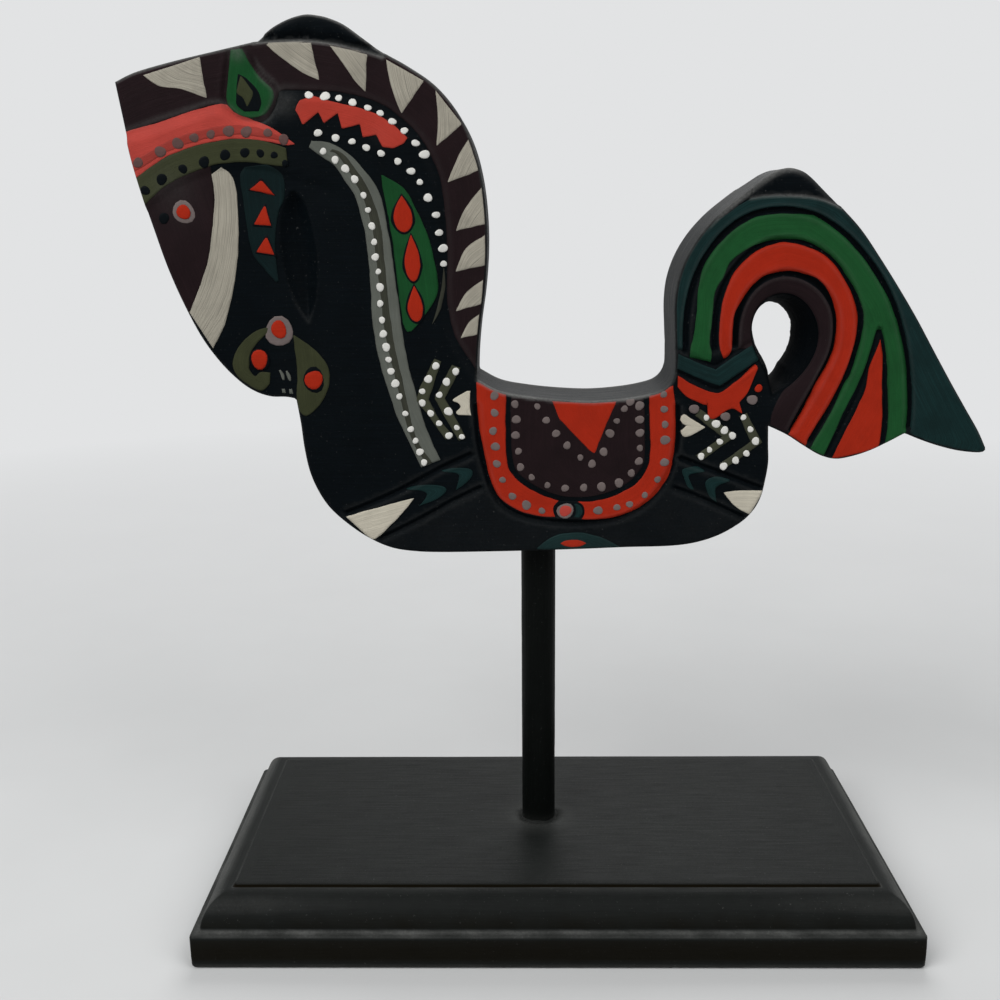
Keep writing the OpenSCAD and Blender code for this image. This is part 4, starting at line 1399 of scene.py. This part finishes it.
HEART = [
    ([(57.5, 55.4), (57.9, 57), (59.2, 57.7), (61.4, 56.3), (64.5, 54.4), (67.6, 52.5)],
     [(57.6, 55.2), (58.6, 53.9), (60, 53.1), (62, 52.4), (64.5, 52.2), (67.5, 52.3)]),
    ([(57.9, 51.2), (59, 52.2), (60.2, 53.2), (62.2, 53.3), (64.7, 53), (67.5, 52.5)],
     [(57.8, 51), (58.2, 49.5), (59.4, 48.5), (61.6, 48.9), (64.4, 50.4), (67.6, 52.3)]),
]
RUMP_MARKS = [
    ([(68.2, 34.2), (64.5, 35.9), (59, 35), (59.5, 31.8), (61.4, 27.3), (64, 26.4)],
     [(68, 33.8), (61.8, 32.7), (62.3, 30), (63.8, 26.6)]),
    ([(78.6, 30.4), (72.7, 31.8), (68.6, 30), (69, 26.4), (71, 22.7), (73.6, 21)],
     [(78.4, 29.8), (73.6, 27.7), (72.7, 25.5), (73.4, 21.2)]),
]
RUMP_STUDS = [(62.9, 60, 2), (75.7, 56.8, 1.9), (86.2, 63.6, 2.1)]
RUMP_WEDGE = (
    [(76.2, 25), (82.7, 25.9), (92.6, 25.5)],
    [(76.3, 24.8), (78.2, 22.3), (81.8, 18.6), (87.4, 15.6)],
)
SADDLE_OUT = [
    (-25.2, 71.6), (-25, 59), (-23.2, 46.4), (-21, 34.5), (-18.2, 26.4), (-14.5, 21.8), (-7.3, 17.3),
    (1.8, 15.3), (7.3, 15), (19, 13.8), (28.2, 14.1), (37.3, 16.4), (44.5, 20.5), (50, 26.4),
    (54.5, 35.5), (55.7, 46.4), (55.5, 59), (54.3, 69.6),
]
SADDLE_IN = [
    (-13.2, 67.6), (-13.6, 51.8), (-13.2, 40), (-11.4, 33.6), (-5.5, 28.2), (1.8, 24.1), (9, 21.8),
    (15.5, 21.4), (23.6, 21.8), (32.7, 24.5), (40, 29), (44, 34.5), (45.5, 40), (45.3, 51.8),
    (44.5, 66),
]
SADDLE_PANEL = (
    [(-11.3, 67), (-11.5, 51.8), (-11, 41), (-9.3, 35), (-4, 30), (2.5, 26.2), (9.3, 24), (15.2, 23.4)],
    [(42.4, 65.5), (43.2, 51.8), (43.3, 40.5), (42, 35.6), (38.4, 30.8), (31.8, 26.6), (23.4, 24),
     (15.8, 23.4)],
)
SADDLE_FLAP = (
    [(5, 64.4), (8.2, 56.4), (14.5, 49.5), (20, 43.8), (22.6, 41.8)],
    [(31.8, 64), (27.6, 54), (22.9, 41.8)],
)
SADDLE_STUDS = [
    (-18, 66), (-18, 59), (-18.7, 51.5), (-17.8, 45), (-17.3, 37.8), (-15, 31), (-11, 24),
    (-5.2, 20.2), (1.2, 17.7), (24.5, 17.7), (32.3, 19), (37.5, 20.3), (43.7, 24.2), (48.8, 30.8),
    (51.5, 38), (51.5, 47.3), (51.3, 53.7), (50.8, 60), (50.5, 66),
]
PANEL_STUDS = [
    (-9.7, 62.5), (-9.2, 56.2), (-9.5, 49.7), (-8.4, 43), (-7.6, 36.3), (-3, 32), (3.5, 28.6),
    (10.8, 27.3), (18.5, 27.5), (25.8, 27.8), (33, 29.4), (38, 33.5), (41, 38.5), (41.3, 44),
    (41.2, 50.3), (41, 55.8), (40.8, 61.5), (-0.6, 61.5), (3, 55.8), (7, 50.3), (11.5, 45.3),
    (17, 40.2), (21.8, 37.5), (26.5, 42.5), (29, 50.2), (31.7, 55.3), (34.7, 60.3), (37, 63.4),
]
BUD_GAP = ([(8, 21.9), (6.2, 20), (5.7, 17.8), (6.3, 15.8), (7.4, 14.3)],
           [(15.4, 21.8), (18, 20.4), (19, 18.2), (18.9, 16), (17.6, 13.7)])
BUD_LEAF = ([(14.4, 20.6), (15, 19.4), (15.2, 17.6), (15, 16), (14.3, 14.9)],
            [(15.2, 20.9), (17.2, 19.8), (18.1, 18), (18, 16.2), (16.6, 14.6)])
BELLY_MARK = ([(-0.9, 1.4), (6.4, 6.8), (15, 8.2), (21.8, 7.3), (28.2, 5), (34.5, 1.6)],
              [(-0.5, 1), (6.4, 0.8), (15, 0.8), (21.8, 1), (28.2, 1.2), (34.3, 1.5)])
BELLY_LENS = ([(8.9, 3.6), (11, 4.8), (14.3, 5.3), (17.6, 4.8), (19.8, 3.6)],
              [(8.9, 3.5), (11, 2.3), (14.3, 1.9), (17.6, 2.3), (19.8, 3.5)])
TAIL_GREEN = [
    (
        [(60.6, 80.8), (60.8, 85), (61.8, 89.5), (62.7, 99.5), (63.2, 108.6), (65, 116.8),
         (70, 124.5), (76.4, 130.5), (83.6, 135), (90, 136.2), (97.3, 136.4), (104.5, 136),
         (109, 135), (118, 128.6), (127.3, 119.5), (134.5, 109.5), (140, 100.5), (143.6, 91.4)],
        [(69, 79), (69.2, 83), (68.2, 86.8), (69, 96), (69.5, 106), (72.7, 112.3), (75.5, 118.6),
         (81.8, 123.2), (89, 126), (97.3, 126.8), (104.5, 126), (109, 124), (116.4, 118.6),
         (122.7, 110.5), (127.3, 102.3), (129, 96), (128.8, 91)],
    ),
    (
        [(135.3, 96), (134.8, 92.6), (134, 90), (131.8, 79.5), (128.2, 69.5), (124.5, 61),
         (120.5, 51), (116.4, 39.8)],
        [(129, 96), (128.8, 91), (128.2, 86), (125.5, 75), (123.2, 70), (118.2, 58.2), (112.7, 47.3),
         (110, 42)],
    ),
    (
        [(142, 96), (143.6, 91.4), (146.4, 82.3), (148.4, 70), (149.5, 58.2), (149, 49)],
        [(135.3, 96), (136.4, 91.4), (138.6, 83.2), (140, 72.3), (141.4, 56.4), (141, 44)],
    ),
]
TAIL_RED = [
    (
        [(74, 80.4), (72.4, 85), (71.8, 90.5), (72.7, 101.4), (75, 110), (79, 116.8), (85.5, 122.3),
         (91.8, 124.8), (97.3, 125.7), (109, 122.3), (116.4, 116.8), (122.7, 107.7), (126.4, 98.6),
         (126.8, 92.3), (125.5, 83.2), (121.2, 69.5), (116.4, 59), (111, 50), (108.4, 43.4)],
        [(74.8, 80.4), (76.6, 82.5), (77.3, 86.8), (77.7, 97.7), (81, 104), (85.5, 110), (90, 113.2),
         (99, 114.5), (108.2, 112.3), (113.6, 107.7), (117.7, 99.5), (118.6, 90.5), (117.3, 81.4),
         (111.6, 69.7), (106.8, 59), (102.7, 51), (100.7, 48.6)],
    ),
    (
        [(136.1, 87.3), (132.7, 76.8), (131.5, 68), (128.2, 59), (123.6, 48.2), (119.5, 38.6)],
        [(136.3, 87.3), (137.7, 79.5), (138, 68), (139, 56.4), (139, 49), (138.2, 43)],
    ),
]
TAIL_MAROON = (
    [(79.6, 84), (80.2, 95.6), (83.2, 104), (88.8, 110), (95.7, 112.4), (103, 111.4), (110, 107.4),
     (115.2, 100.8), (117, 93), (116.3, 83.4), (111.8, 72.5), (106.4, 61.6), (101.8, 52),
     (99.5, 49.5)],
    [(86.6, 84), (85.6, 91), *LOOP_LINE[4:13], (97, 64), (94.5, 58), (94, 53)],
)
TAIL_RIM = np.vstack([
    stretch_between(RIM, (55.2, 84), (68, 132)),
    [(73.4, 136.6), (77.8, 139.7)],
    HUMPS[1],
    stretch_between(RIM, (118.6, 138), (181, 43.2)),
])
TAIL_TEAL = (
    np.vstack([TAIL_RIM, [(180.4, 39)]]),
    np.vstack([beside(WIDE_CUTS[5], (1.25,)), [(150.6, 46)]]),
)
ROOT_TEAL = (
    [(55.9, 82.5), (63, 79), (71, 76), (78, 81), (85.4, 85.4)],
    [(55.6, 76.5), (63, 73), (73, 69.3), (80, 74), (88.4, 79.6)],
)
ROOT_RED = (
    [(56, 73.5), (62, 70), (70, 66.7), (74, 67), (80, 71.5), (86.5, 77.5), (88, 76.4)],
    [(56, 69), (60, 65), (66, 62), (69, 61), (68.5, 58), (70, 55.8), (73, 57), (76.5, 59.5), (79, 60),
     (82.5, 58), (81, 62), (84, 66), (86.5, 72.5), (88, 76)],
)


def finish(name):
    """A paint by its name: its colour, then streaks, blotches, thin rim, light and dark tone, and
    relief."""
    c = settings()[2]
    rows = {
        "cream": (c.cream, 0.85, 0.35, 0.3, 0.72, 0.8, 0.5),
        "tooth": (tinted(c.cream, 1.04), 1.0, 0.5, 0.4, 0.68, 0.72, 0.5),
        "ivory": (tinted(c.cream, 1.22), 0.7, 0.35, 0.25, 0.8, 0.85, 0.5),
        "white": (c.white, 0.1, 0.2, 0.0, 0.95, 0.9, 0.15),
        "maroon": (c.maroon, 0.5, 0.45, 0.2, 1.35, 0.75, 0.4),
        "red": (c.red, 0.3, 0.35, 0.35, 1.12, 0.82, 0.4),
        "rose": (c.rose, 0.4, 0.4, 0.35, 1.1, 0.86, 0.4),
        "coral": (tinted(c.rose, 1.0, c.red, 0.3), 0.4, 0.4, 0.35, 1.1, 0.86, 0.4),
        "green": (c.green, 0.4, 0.4, 0.3, 1.25, 0.75, 0.4),
        "grass": (tinted(c.green, 1.1, (0.2, 0.3, 0.18), 0.08), 0.4, 0.4, 0.3, 1.25, 0.75, 0.4),
        # Painted shade behind the brow's studs
        "shade": (tinted(c.rose, 0.84), 0.4, 0.4, 0.2, 1.1, 0.86, 0.4),
        "veil": (tinted(c.teal, 0.85, c.ground, 0.3), 0.7, 0.5, 0.4, 1.4, 0.75, 0.45),
        "dull": (tinted(c.stud, 0.85, (0.36, 0.18, 0.16), 0.35), 0.3, 0.5, 0.3, 1.2, 0.8, 0.25),
        "teal": (c.teal, 0.7, 0.5, 0.2, 1.5, 0.75, 0.45),
        "olive": (c.olive, 0.5, 0.4, 0.3, 1.2, 0.75, 0.4),
        "grey": (c.grey, 0.5, 0.35, 0.3, 1.15, 0.8, 0.4),
        "stripe": (tinted(c.grey, 0.6, (0.19, 0.19, 0.14), 0.4), 0.7, 0.4, 0.2, 1.3, 0.75, 0.4),
        "khaki": (tinted(c.olive, 1.05, (0.27, 0.27, 0.26), 0.35), 0.5, 0.4, 0.3, 1.2, 0.75),
        "stud": (c.stud, 0.2, 0.45, 0.2, 1.15, 0.82, 0.25),
        "black": (c.ground, 0.3, 0.3, 0.0, 1.5, 0.75, 0.3),
    }
    return paint_finish("paint_" + name, *rows[name])


class PaintMane(bpy.types.Operator):
    """Brush the maroon mane and its cream teeth"""

    bl_idname = "horse.mane"
    bl_label = "Mane"

    def execute(self, context):
        film("mane_coat", "maroon", [(MANE_RIM, MANE)], 0, seed=3, margin=0.7)
        film("mane_teeth", "tooth", TEETH, 1, seed=11, margin=0.8)
        return {"FINISHED"}


class PaintHead(bpy.types.Operator):
    """Brush the ear, brow, cheek band, face, blaze, cheek patch, eye and mouth"""

    bl_idname = "horse.head"
    bl_label = "Head"

    def execute(self, context):
        film("ear_green", "green", [EAR], 1, seed=21)
        film("ear_hollow", "black", [EAR_HOLLOW], 2, seed=23)
        film("ear_core", "olive", [EAR_CORE], 3, seed=25)
        film("brow_band", "rose", [(BROW_TOP, BROW_FOOT)], 1, seed=27)
        film("brow_shade", "shade", [BROW_SHADE], 2, seed=28)
        dabs("brow_studs", "dull", BROW_STUDS, 2, 0.35, 29, 3)
        film("face_panel", "maroon", [FACE_PANEL], 0, seed=31)
        film("cheek_band", "olive", [(CHEEK_BAND_TOP, CHEEK_BAND_FOOT)], 2, seed=33)
        dabs("cheek_studs", "black", CHEEK_STUDS, 1.75, 0.35, 35, 3)
        film("face_blaze", "cream", [BLAZE], 1, seed=37)
        film("cheek_patch", "veil", [CHEEK_PATCH], 1, seed=39)
        film("cheek_mark_lines", "black", lined(CHEEK_MARKS, 1.1), 2, curved=False, seed=41)
        film("cheek_marks", "red", CHEEK_MARKS, 3, curved=False, seed=43)
        dabs("face_discs", "stud", FACE_DISCS, 4, 0.3, 45, 1, 0.95)
        dabs("eye_spot", "black", [(-147, 137, 2.1)], 2, 0.3, 46, 2)
        film("mouth_bands", "olive", MOUTH, 1, seed=47)
        dabs("mouth_rings", "black", MOUTH_RINGS, 4, 0.3, 48, 2, 1.15)
        dabs("face_spots", "red", FACE_SPOTS, 3, 0.4, 49, 4, 1.1)
        film("tooth_marks", "grey", TOOTH_MARKS, 1, seed=51, step=0.6, wobble=0.08)
        return {"FINISHED"}


class PaintNeck(bpy.types.Operator):
    """Brush the scallop, strap, leaf and rows of beads on the neck"""

    bl_idname = "horse.neck"
    bl_label = "Neck"

    def execute(self, context):
        film("neck_scallop", "coral", [SCALLOP], 1, curved=False, seed=61, step=0.8,
             wobble=0.12)
        dabs("mane_beads", "white", MANE_BEADS, 1.65, 0.42, 63, 2, 0.82)
        film("mane_sliver", "stripe", [MANE_SLIVER], 1, seed=65)
        film("neck_strap", "grey", [STRAP], 1, seed=67)
        film("strap_stripe", "stripe", [STRAP_STRIPE], 2, seed=69)
        dabs("strap_beads", "white", STRAP_BEADS, 1.45, 0.42, 71, 3)
        film("neck_leaf", "green", [LEAF], 2, seed=73)
        film("leaf_drop_lines", "black", lined(LEAF_DROPS, 0.9), 3, seed=75)
        film("leaf_drops", "red", LEAF_DROPS, 4, seed=77)
        return {"FINISHED"}


class PaintHarness(bpy.types.Operator):
    """Brush the wedges, arrows, chevrons and small marks of breast and rump"""

    bl_idname = "horse.harness"
    bl_label = "Harness"

    def execute(self, context):
        film("harness_wedges", "ivory", [BREAST_WEDGE, RUMP_WEDGE], 1, seed=81)
        film("harness_arrows", "teal", BREAST_MARKS + RUMP_MARKS, 1, seed=83)
        film("chevrons", "khaki", CHEVRONS, 1, curved=False, seed=85)
        dabs("chevron_beads", "white", CHEVRON_BEADS, 1.5, 0.42, 87, 2)
        film("bow_and_heart", "ivory", [BOW] + HEART, 1, seed=89, step=0.7, wobble=0.08)
        dabs("rump_studs", "stud", RUMP_STUDS, 2, 0.4, 91, 3)
        return {"FINISHED"}


class PaintSaddle(bpy.types.Operator):
    """Brush the saddle's border, panel, flap and studs, and the mark on the belly"""

    bl_idname = "horse.saddle"
    bl_label = "Saddle"

    def execute(self, context):
        film("saddle_border", "red", [(SADDLE_OUT, SADDLE_IN)], 1, seed=101)
        film("saddle_panel", "maroon", [SADDLE_PANEL], 0, seed=103)
        film("saddle_flap", "red", [SADDLE_FLAP], 1, curved=False, seed=105)
        dabs("saddle_studs", "stud", SADDLE_STUDS, 1.7, 0.4, 107, 2)
        dabs("panel_studs", "stud", PANEL_STUDS, 1.6, 0.4, 109, 1)
        film("saddle_bud", "black", [BUD_GAP], 2, seed=110, step=0.8, wobble=0.08)
        film("saddle_bud_leaf", "teal", [BUD_LEAF], 3, seed=111, step=0.6, wobble=0.08)
        dabs("saddle_bud_ring", "stud", [(10.9, 17.7, 3.5)], 3, 0.35, 112, 3)
        dabs("saddle_bud_heart", "rose", [(10.9, 17.7, 2.6)], 3, 0.4, 113, 4)
        film("belly_mark", "teal", [BELLY_MARK], 1, seed=115)
        film("belly_lens", "red", [BELLY_LENS], 2, seed=117)
        return {"FINISHED"}


class PaintTail(bpy.types.Operator):
    """Brush the bands of the tail and the two bands at its root"""

    bl_idname = "horse.tail"
    bl_label = "Tail"

    def execute(self, context):
        film("tail_edge", "teal", [TAIL_TEAL], 0, seed=121, margin=0.7)
        film("tail_green", "grass", TAIL_GREEN, 1, seed=123)
        film("tail_red", "red", TAIL_RED, 1, seed=125)
        film("tail_maroon", "maroon", [TAIL_MAROON], 0, seed=127, margin=0.7)
        film("tail_root_teal", "teal", [ROOT_TEAL], 2, curved=False, seed=129)
        film("tail_root_red", "red", [ROOT_RED], 2, seed=131, step=0.8)
        dabs("tail_root_dot", "red", [(88.6, 68.2, 1.6)], 1.6, 0.4, 133, 2)
        return {"FINISHED"}


class BuildStand(bpy.types.Operator):
    """Shape the moulded base, the post with its bead of glue, and finish the screw"""

    bl_idname = "horse.stand"
    bl_label = "Stand"

    def execute(self, context):
        c = settings()[2]
        # Pale tone for dusty wear and painted highlight on the ledge, darker tone for painted shade in the
        # front step, round and face
        base_piece(paint_finish(
            "base_paint", c.base, 0.18, 0.5, 0, 1.7, 0.75, 0.2, 0.05, c.dust_and_sheen, c.seam, 0.8, 0.4,
        ))
        post_finish = paint_finish(
            "post_paint", c.post, 0.6, 0.5, 0, 1.7, 0.75, 0.4, dust_and_sheen=c.dust_and_sheen, wear=0.3, specks=0.25,
        )
        post_piece(post_finish)
        bead_piece(post_finish)
        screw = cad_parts["base_screw"]
        screw.data.materials.clear()
        screw.data.materials.append(steel_finish("screw_zinc", c.steel))
        return {"FINISHED"}


# Camera: place in metres, turn, tip and roll in degrees, sensor and focal length in millimetres
CAMERA_PLACE = (-0.0144, -0.4774, 0.3001)
CAMERA_ANGLES = (-0.966, 14.164, 0.567)
SENSOR, FOCAL = 36.0, 41.06
# Point that the lamps face
LAMP_AIM = Vector((0.0, 0.0, 0.2))
# Radii of the floor's rings, and distances between which it fades into the surround
FLOOR_RINGS = (0.001, 0.3, 0.8, 2.0, 5.0, 12.0)
FLOOR_FADE = (0.25, 1.2)


def camera_pose(place, yaw, pitch, roll):
    """A camera's matrix from its place and three angles: turned about Z, tipped down, then rolled about
    its axis."""
    forward = np.array([np.sin(yaw) * np.cos(pitch), np.cos(yaw) * np.cos(pitch), -np.sin(pitch)])
    right = np.array([np.cos(yaw), -np.sin(yaw), 0.0])
    down = np.cross(forward, right)
    matrix = np.eye(4)
    matrix[:3, 0] = np.cos(roll) * right + np.sin(roll) * down
    matrix[:3, 1] = np.sin(roll) * right - np.cos(roll) * down
    matrix[:3, 2] = -forward
    matrix[:3, 3] = place
    return Matrix(matrix.tolist())


def seen_directly(tree):
    """A value that is 1 for rays from the camera, mirrors and glass and 0 for rays that carry diffuse
    light."""
    rays = tree.nodes.new("ShaderNodeLightPath")
    mirrored = maths(tree, "MAXIMUM", rays.outputs["Is Glossy Ray"], rays.outputs["Is Transmission Ray"])
    return maths(tree, "MAXIMUM", rays.outputs["Is Camera Ray"], mirrored)


def set_camera(scene):
    """The camera that sees the horse from its front."""
    lens = bpy.data.cameras.new("camera")
    lens.sensor_width = SENSOR
    lens.lens = FOCAL
    lens.clip_start = 0.01
    camera = bpy.data.objects.new("camera", lens)
    camera.matrix_world = camera_pose(CAMERA_PLACE, *np.radians(CAMERA_ANGLES))
    scene.collection.objects.link(camera)
    scene.camera = camera


def floor_finish(look):
    """A pale floor with a faint cloud, that fades into the surround with distance for rays that see
    it."""
    material, tree, shader, place = new_material("floor_pale")
    cloud = remap(tree, noise(tree, place, (9.0, 9.0, 9.0)), 0.3, 0.7)
    tone = blend(tree, cloud, linear(look.floor), linear(tinted(look.floor, 0.985)))
    tree.links.new(tone, shader.inputs["Base Color"])
    shader.inputs["Roughness"].default_value = 0.9
    shader.inputs["Specular IOR Level"].default_value = 0.1
    far = tree.nodes.new("ShaderNodeVectorMath")
    far.operation = "LENGTH"
    tree.links.new(place, far.inputs[0])
    fade = maths(tree, "MULTIPLY", remap(tree, far.outputs["Value"], *FLOOR_FADE), seen_directly(tree))
    glow = tree.nodes.new("ShaderNodeEmission")
    glow.inputs["Color"].default_value = linear(look.sky)
    mixed = tree.nodes.new("ShaderNodeMixShader")
    tree.links.new(fade, mixed.inputs["Fac"])
    tree.links.new(shader.outputs["BSDF"], mixed.inputs[1])
    tree.links.new(glow.outputs["Emission"], mixed.inputs[2])
    tree.links.new(mixed.outputs["Shader"], tree.nodes["Material Output"].inputs["Surface"])
    return material


def set_floor(scene, look):
    """A round floor at the height of the base's underside."""
    turn = np.linspace(0, 2 * np.pi, 96, endpoint=False)
    rings = np.array(FLOOR_RINGS)[:, None]
    x = rings * np.cos(turn)
    y = rings * np.sin(turn)
    points = np.stack([x, y, np.zeros(x.shape)], -1).reshape(-1, 3)
    mesh = bpy.data.meshes.new("floor")
    mesh.from_pydata(points.tolist(), [], grid_quads(len(rings), len(turn), wrap_columns=True).tolist())
    mesh.materials.append(floor_finish(look))
    floor = bpy.data.objects.new("floor", mesh)
    scene.collection.objects.link(floor)


def set_lamp(scene, name, spot, size, power):
    """A soft round lamp that faces the horse."""
    light = bpy.data.lights.new(name, "AREA")
    light.shape = "DISK"
    light.size = size
    light.energy = power
    lamp = bpy.data.objects.new(name, light)
    lamp.location = spot
    lamp.rotation_euler = (LAMP_AIM - Vector(spot)).to_track_quat("-Z", "Y").to_euler()
    scene.collection.objects.link(lamp)


def set_surround(scene, look):
    """A pale surround: full for rays that see it, dimmer for diffuse light."""
    world = bpy.data.worlds.new("surround")
    world.use_nodes = True
    tree = world.node_tree
    sky = tree.nodes["Background"]
    sky.inputs["Color"].default_value = linear(look.sky)
    strength = tree.nodes.new("ShaderNodeMix")
    strength.inputs["A"].default_value = look.sky_level
    strength.inputs["B"].default_value = 1.0
    tree.links.new(seen_directly(tree), strength.inputs["Factor"])
    tree.links.new(strength.outputs["Result"], sky.inputs["Strength"])
    scene.world = world


class BuildStage(bpy.types.Operator):
    """Set the camera, a plain pale floor, soft lamps and a pale surround"""

    bl_idname = "horse.stage"
    bl_label = "Stage"

    def execute(self, context):
        look = settings()[3]
        scene = context.scene
        set_camera(scene)
        set_floor(scene, look)
        set_lamp(scene, "key_lamp", (-0.95, -0.85, 1.35), 1.2, look.key_power)
        set_lamp(scene, "fill_lamp", (0.95, -0.85, 1.25), 1.2, look.fill_power)
        set_lamp(scene, "back_lamp", (0.15, 1.15, 1.35), 1.3, look.back_power)
        set_surround(scene, look)
        scene.view_settings.view_transform = "Standard"
        return {"FINISHED"}


class HorsePanel(bpy.types.Panel):
    """Settings and steps of the painted horse"""

    bl_idname = "VIEW3D_PT_painted_horse"
    bl_label = "Painted horse"
    bl_space_type = "VIEW_3D"
    bl_region_type = "UI"
    bl_category = "Horse"

    def draw(self, context):
        for operator in OPERATORS:
            self.layout.operator(operator.bl_idname)
        for owner in settings():
            box = self.layout.box()
            for label in owner.__annotations__:
                box.prop(owner, label)


GROUPS = (HorseShape, StandShape, HorseColours, StageLook)
OWNERS = ("horse_shape", "stand_shape", "horse_colours", "stage_look")
OPERATORS = (
    BuildStage, BuildBoard, PaintMane, PaintHead, PaintNeck, PaintHarness, PaintSaddle, PaintTail,
    BuildStand,
)


def register():
    for kind in GROUPS + OPERATORS + (HorsePanel,):
        bpy.utils.register_class(kind)
    for owner, kind in zip(OWNERS, GROUPS):
        setattr(bpy.types.Scene, owner, bpy.props.PointerProperty(type=kind))


def unregister():
    for owner in OWNERS:
        delattr(bpy.types.Scene, owner)
    for kind in (HorsePanel,) + OPERATORS[::-1] + GROUPS[::-1]:
        bpy.utils.unregister_class(kind)


def main():
    register()
    bpy.ops.horse.stage()
    bpy.ops.horse.board()
    bpy.ops.horse.mane()
    bpy.ops.horse.head()
    bpy.ops.horse.neck()
    bpy.ops.horse.harness()
    bpy.ops.horse.saddle()
    bpy.ops.horse.tail()
    bpy.ops.horse.stand()


if __name__ == "__main__":
    main()
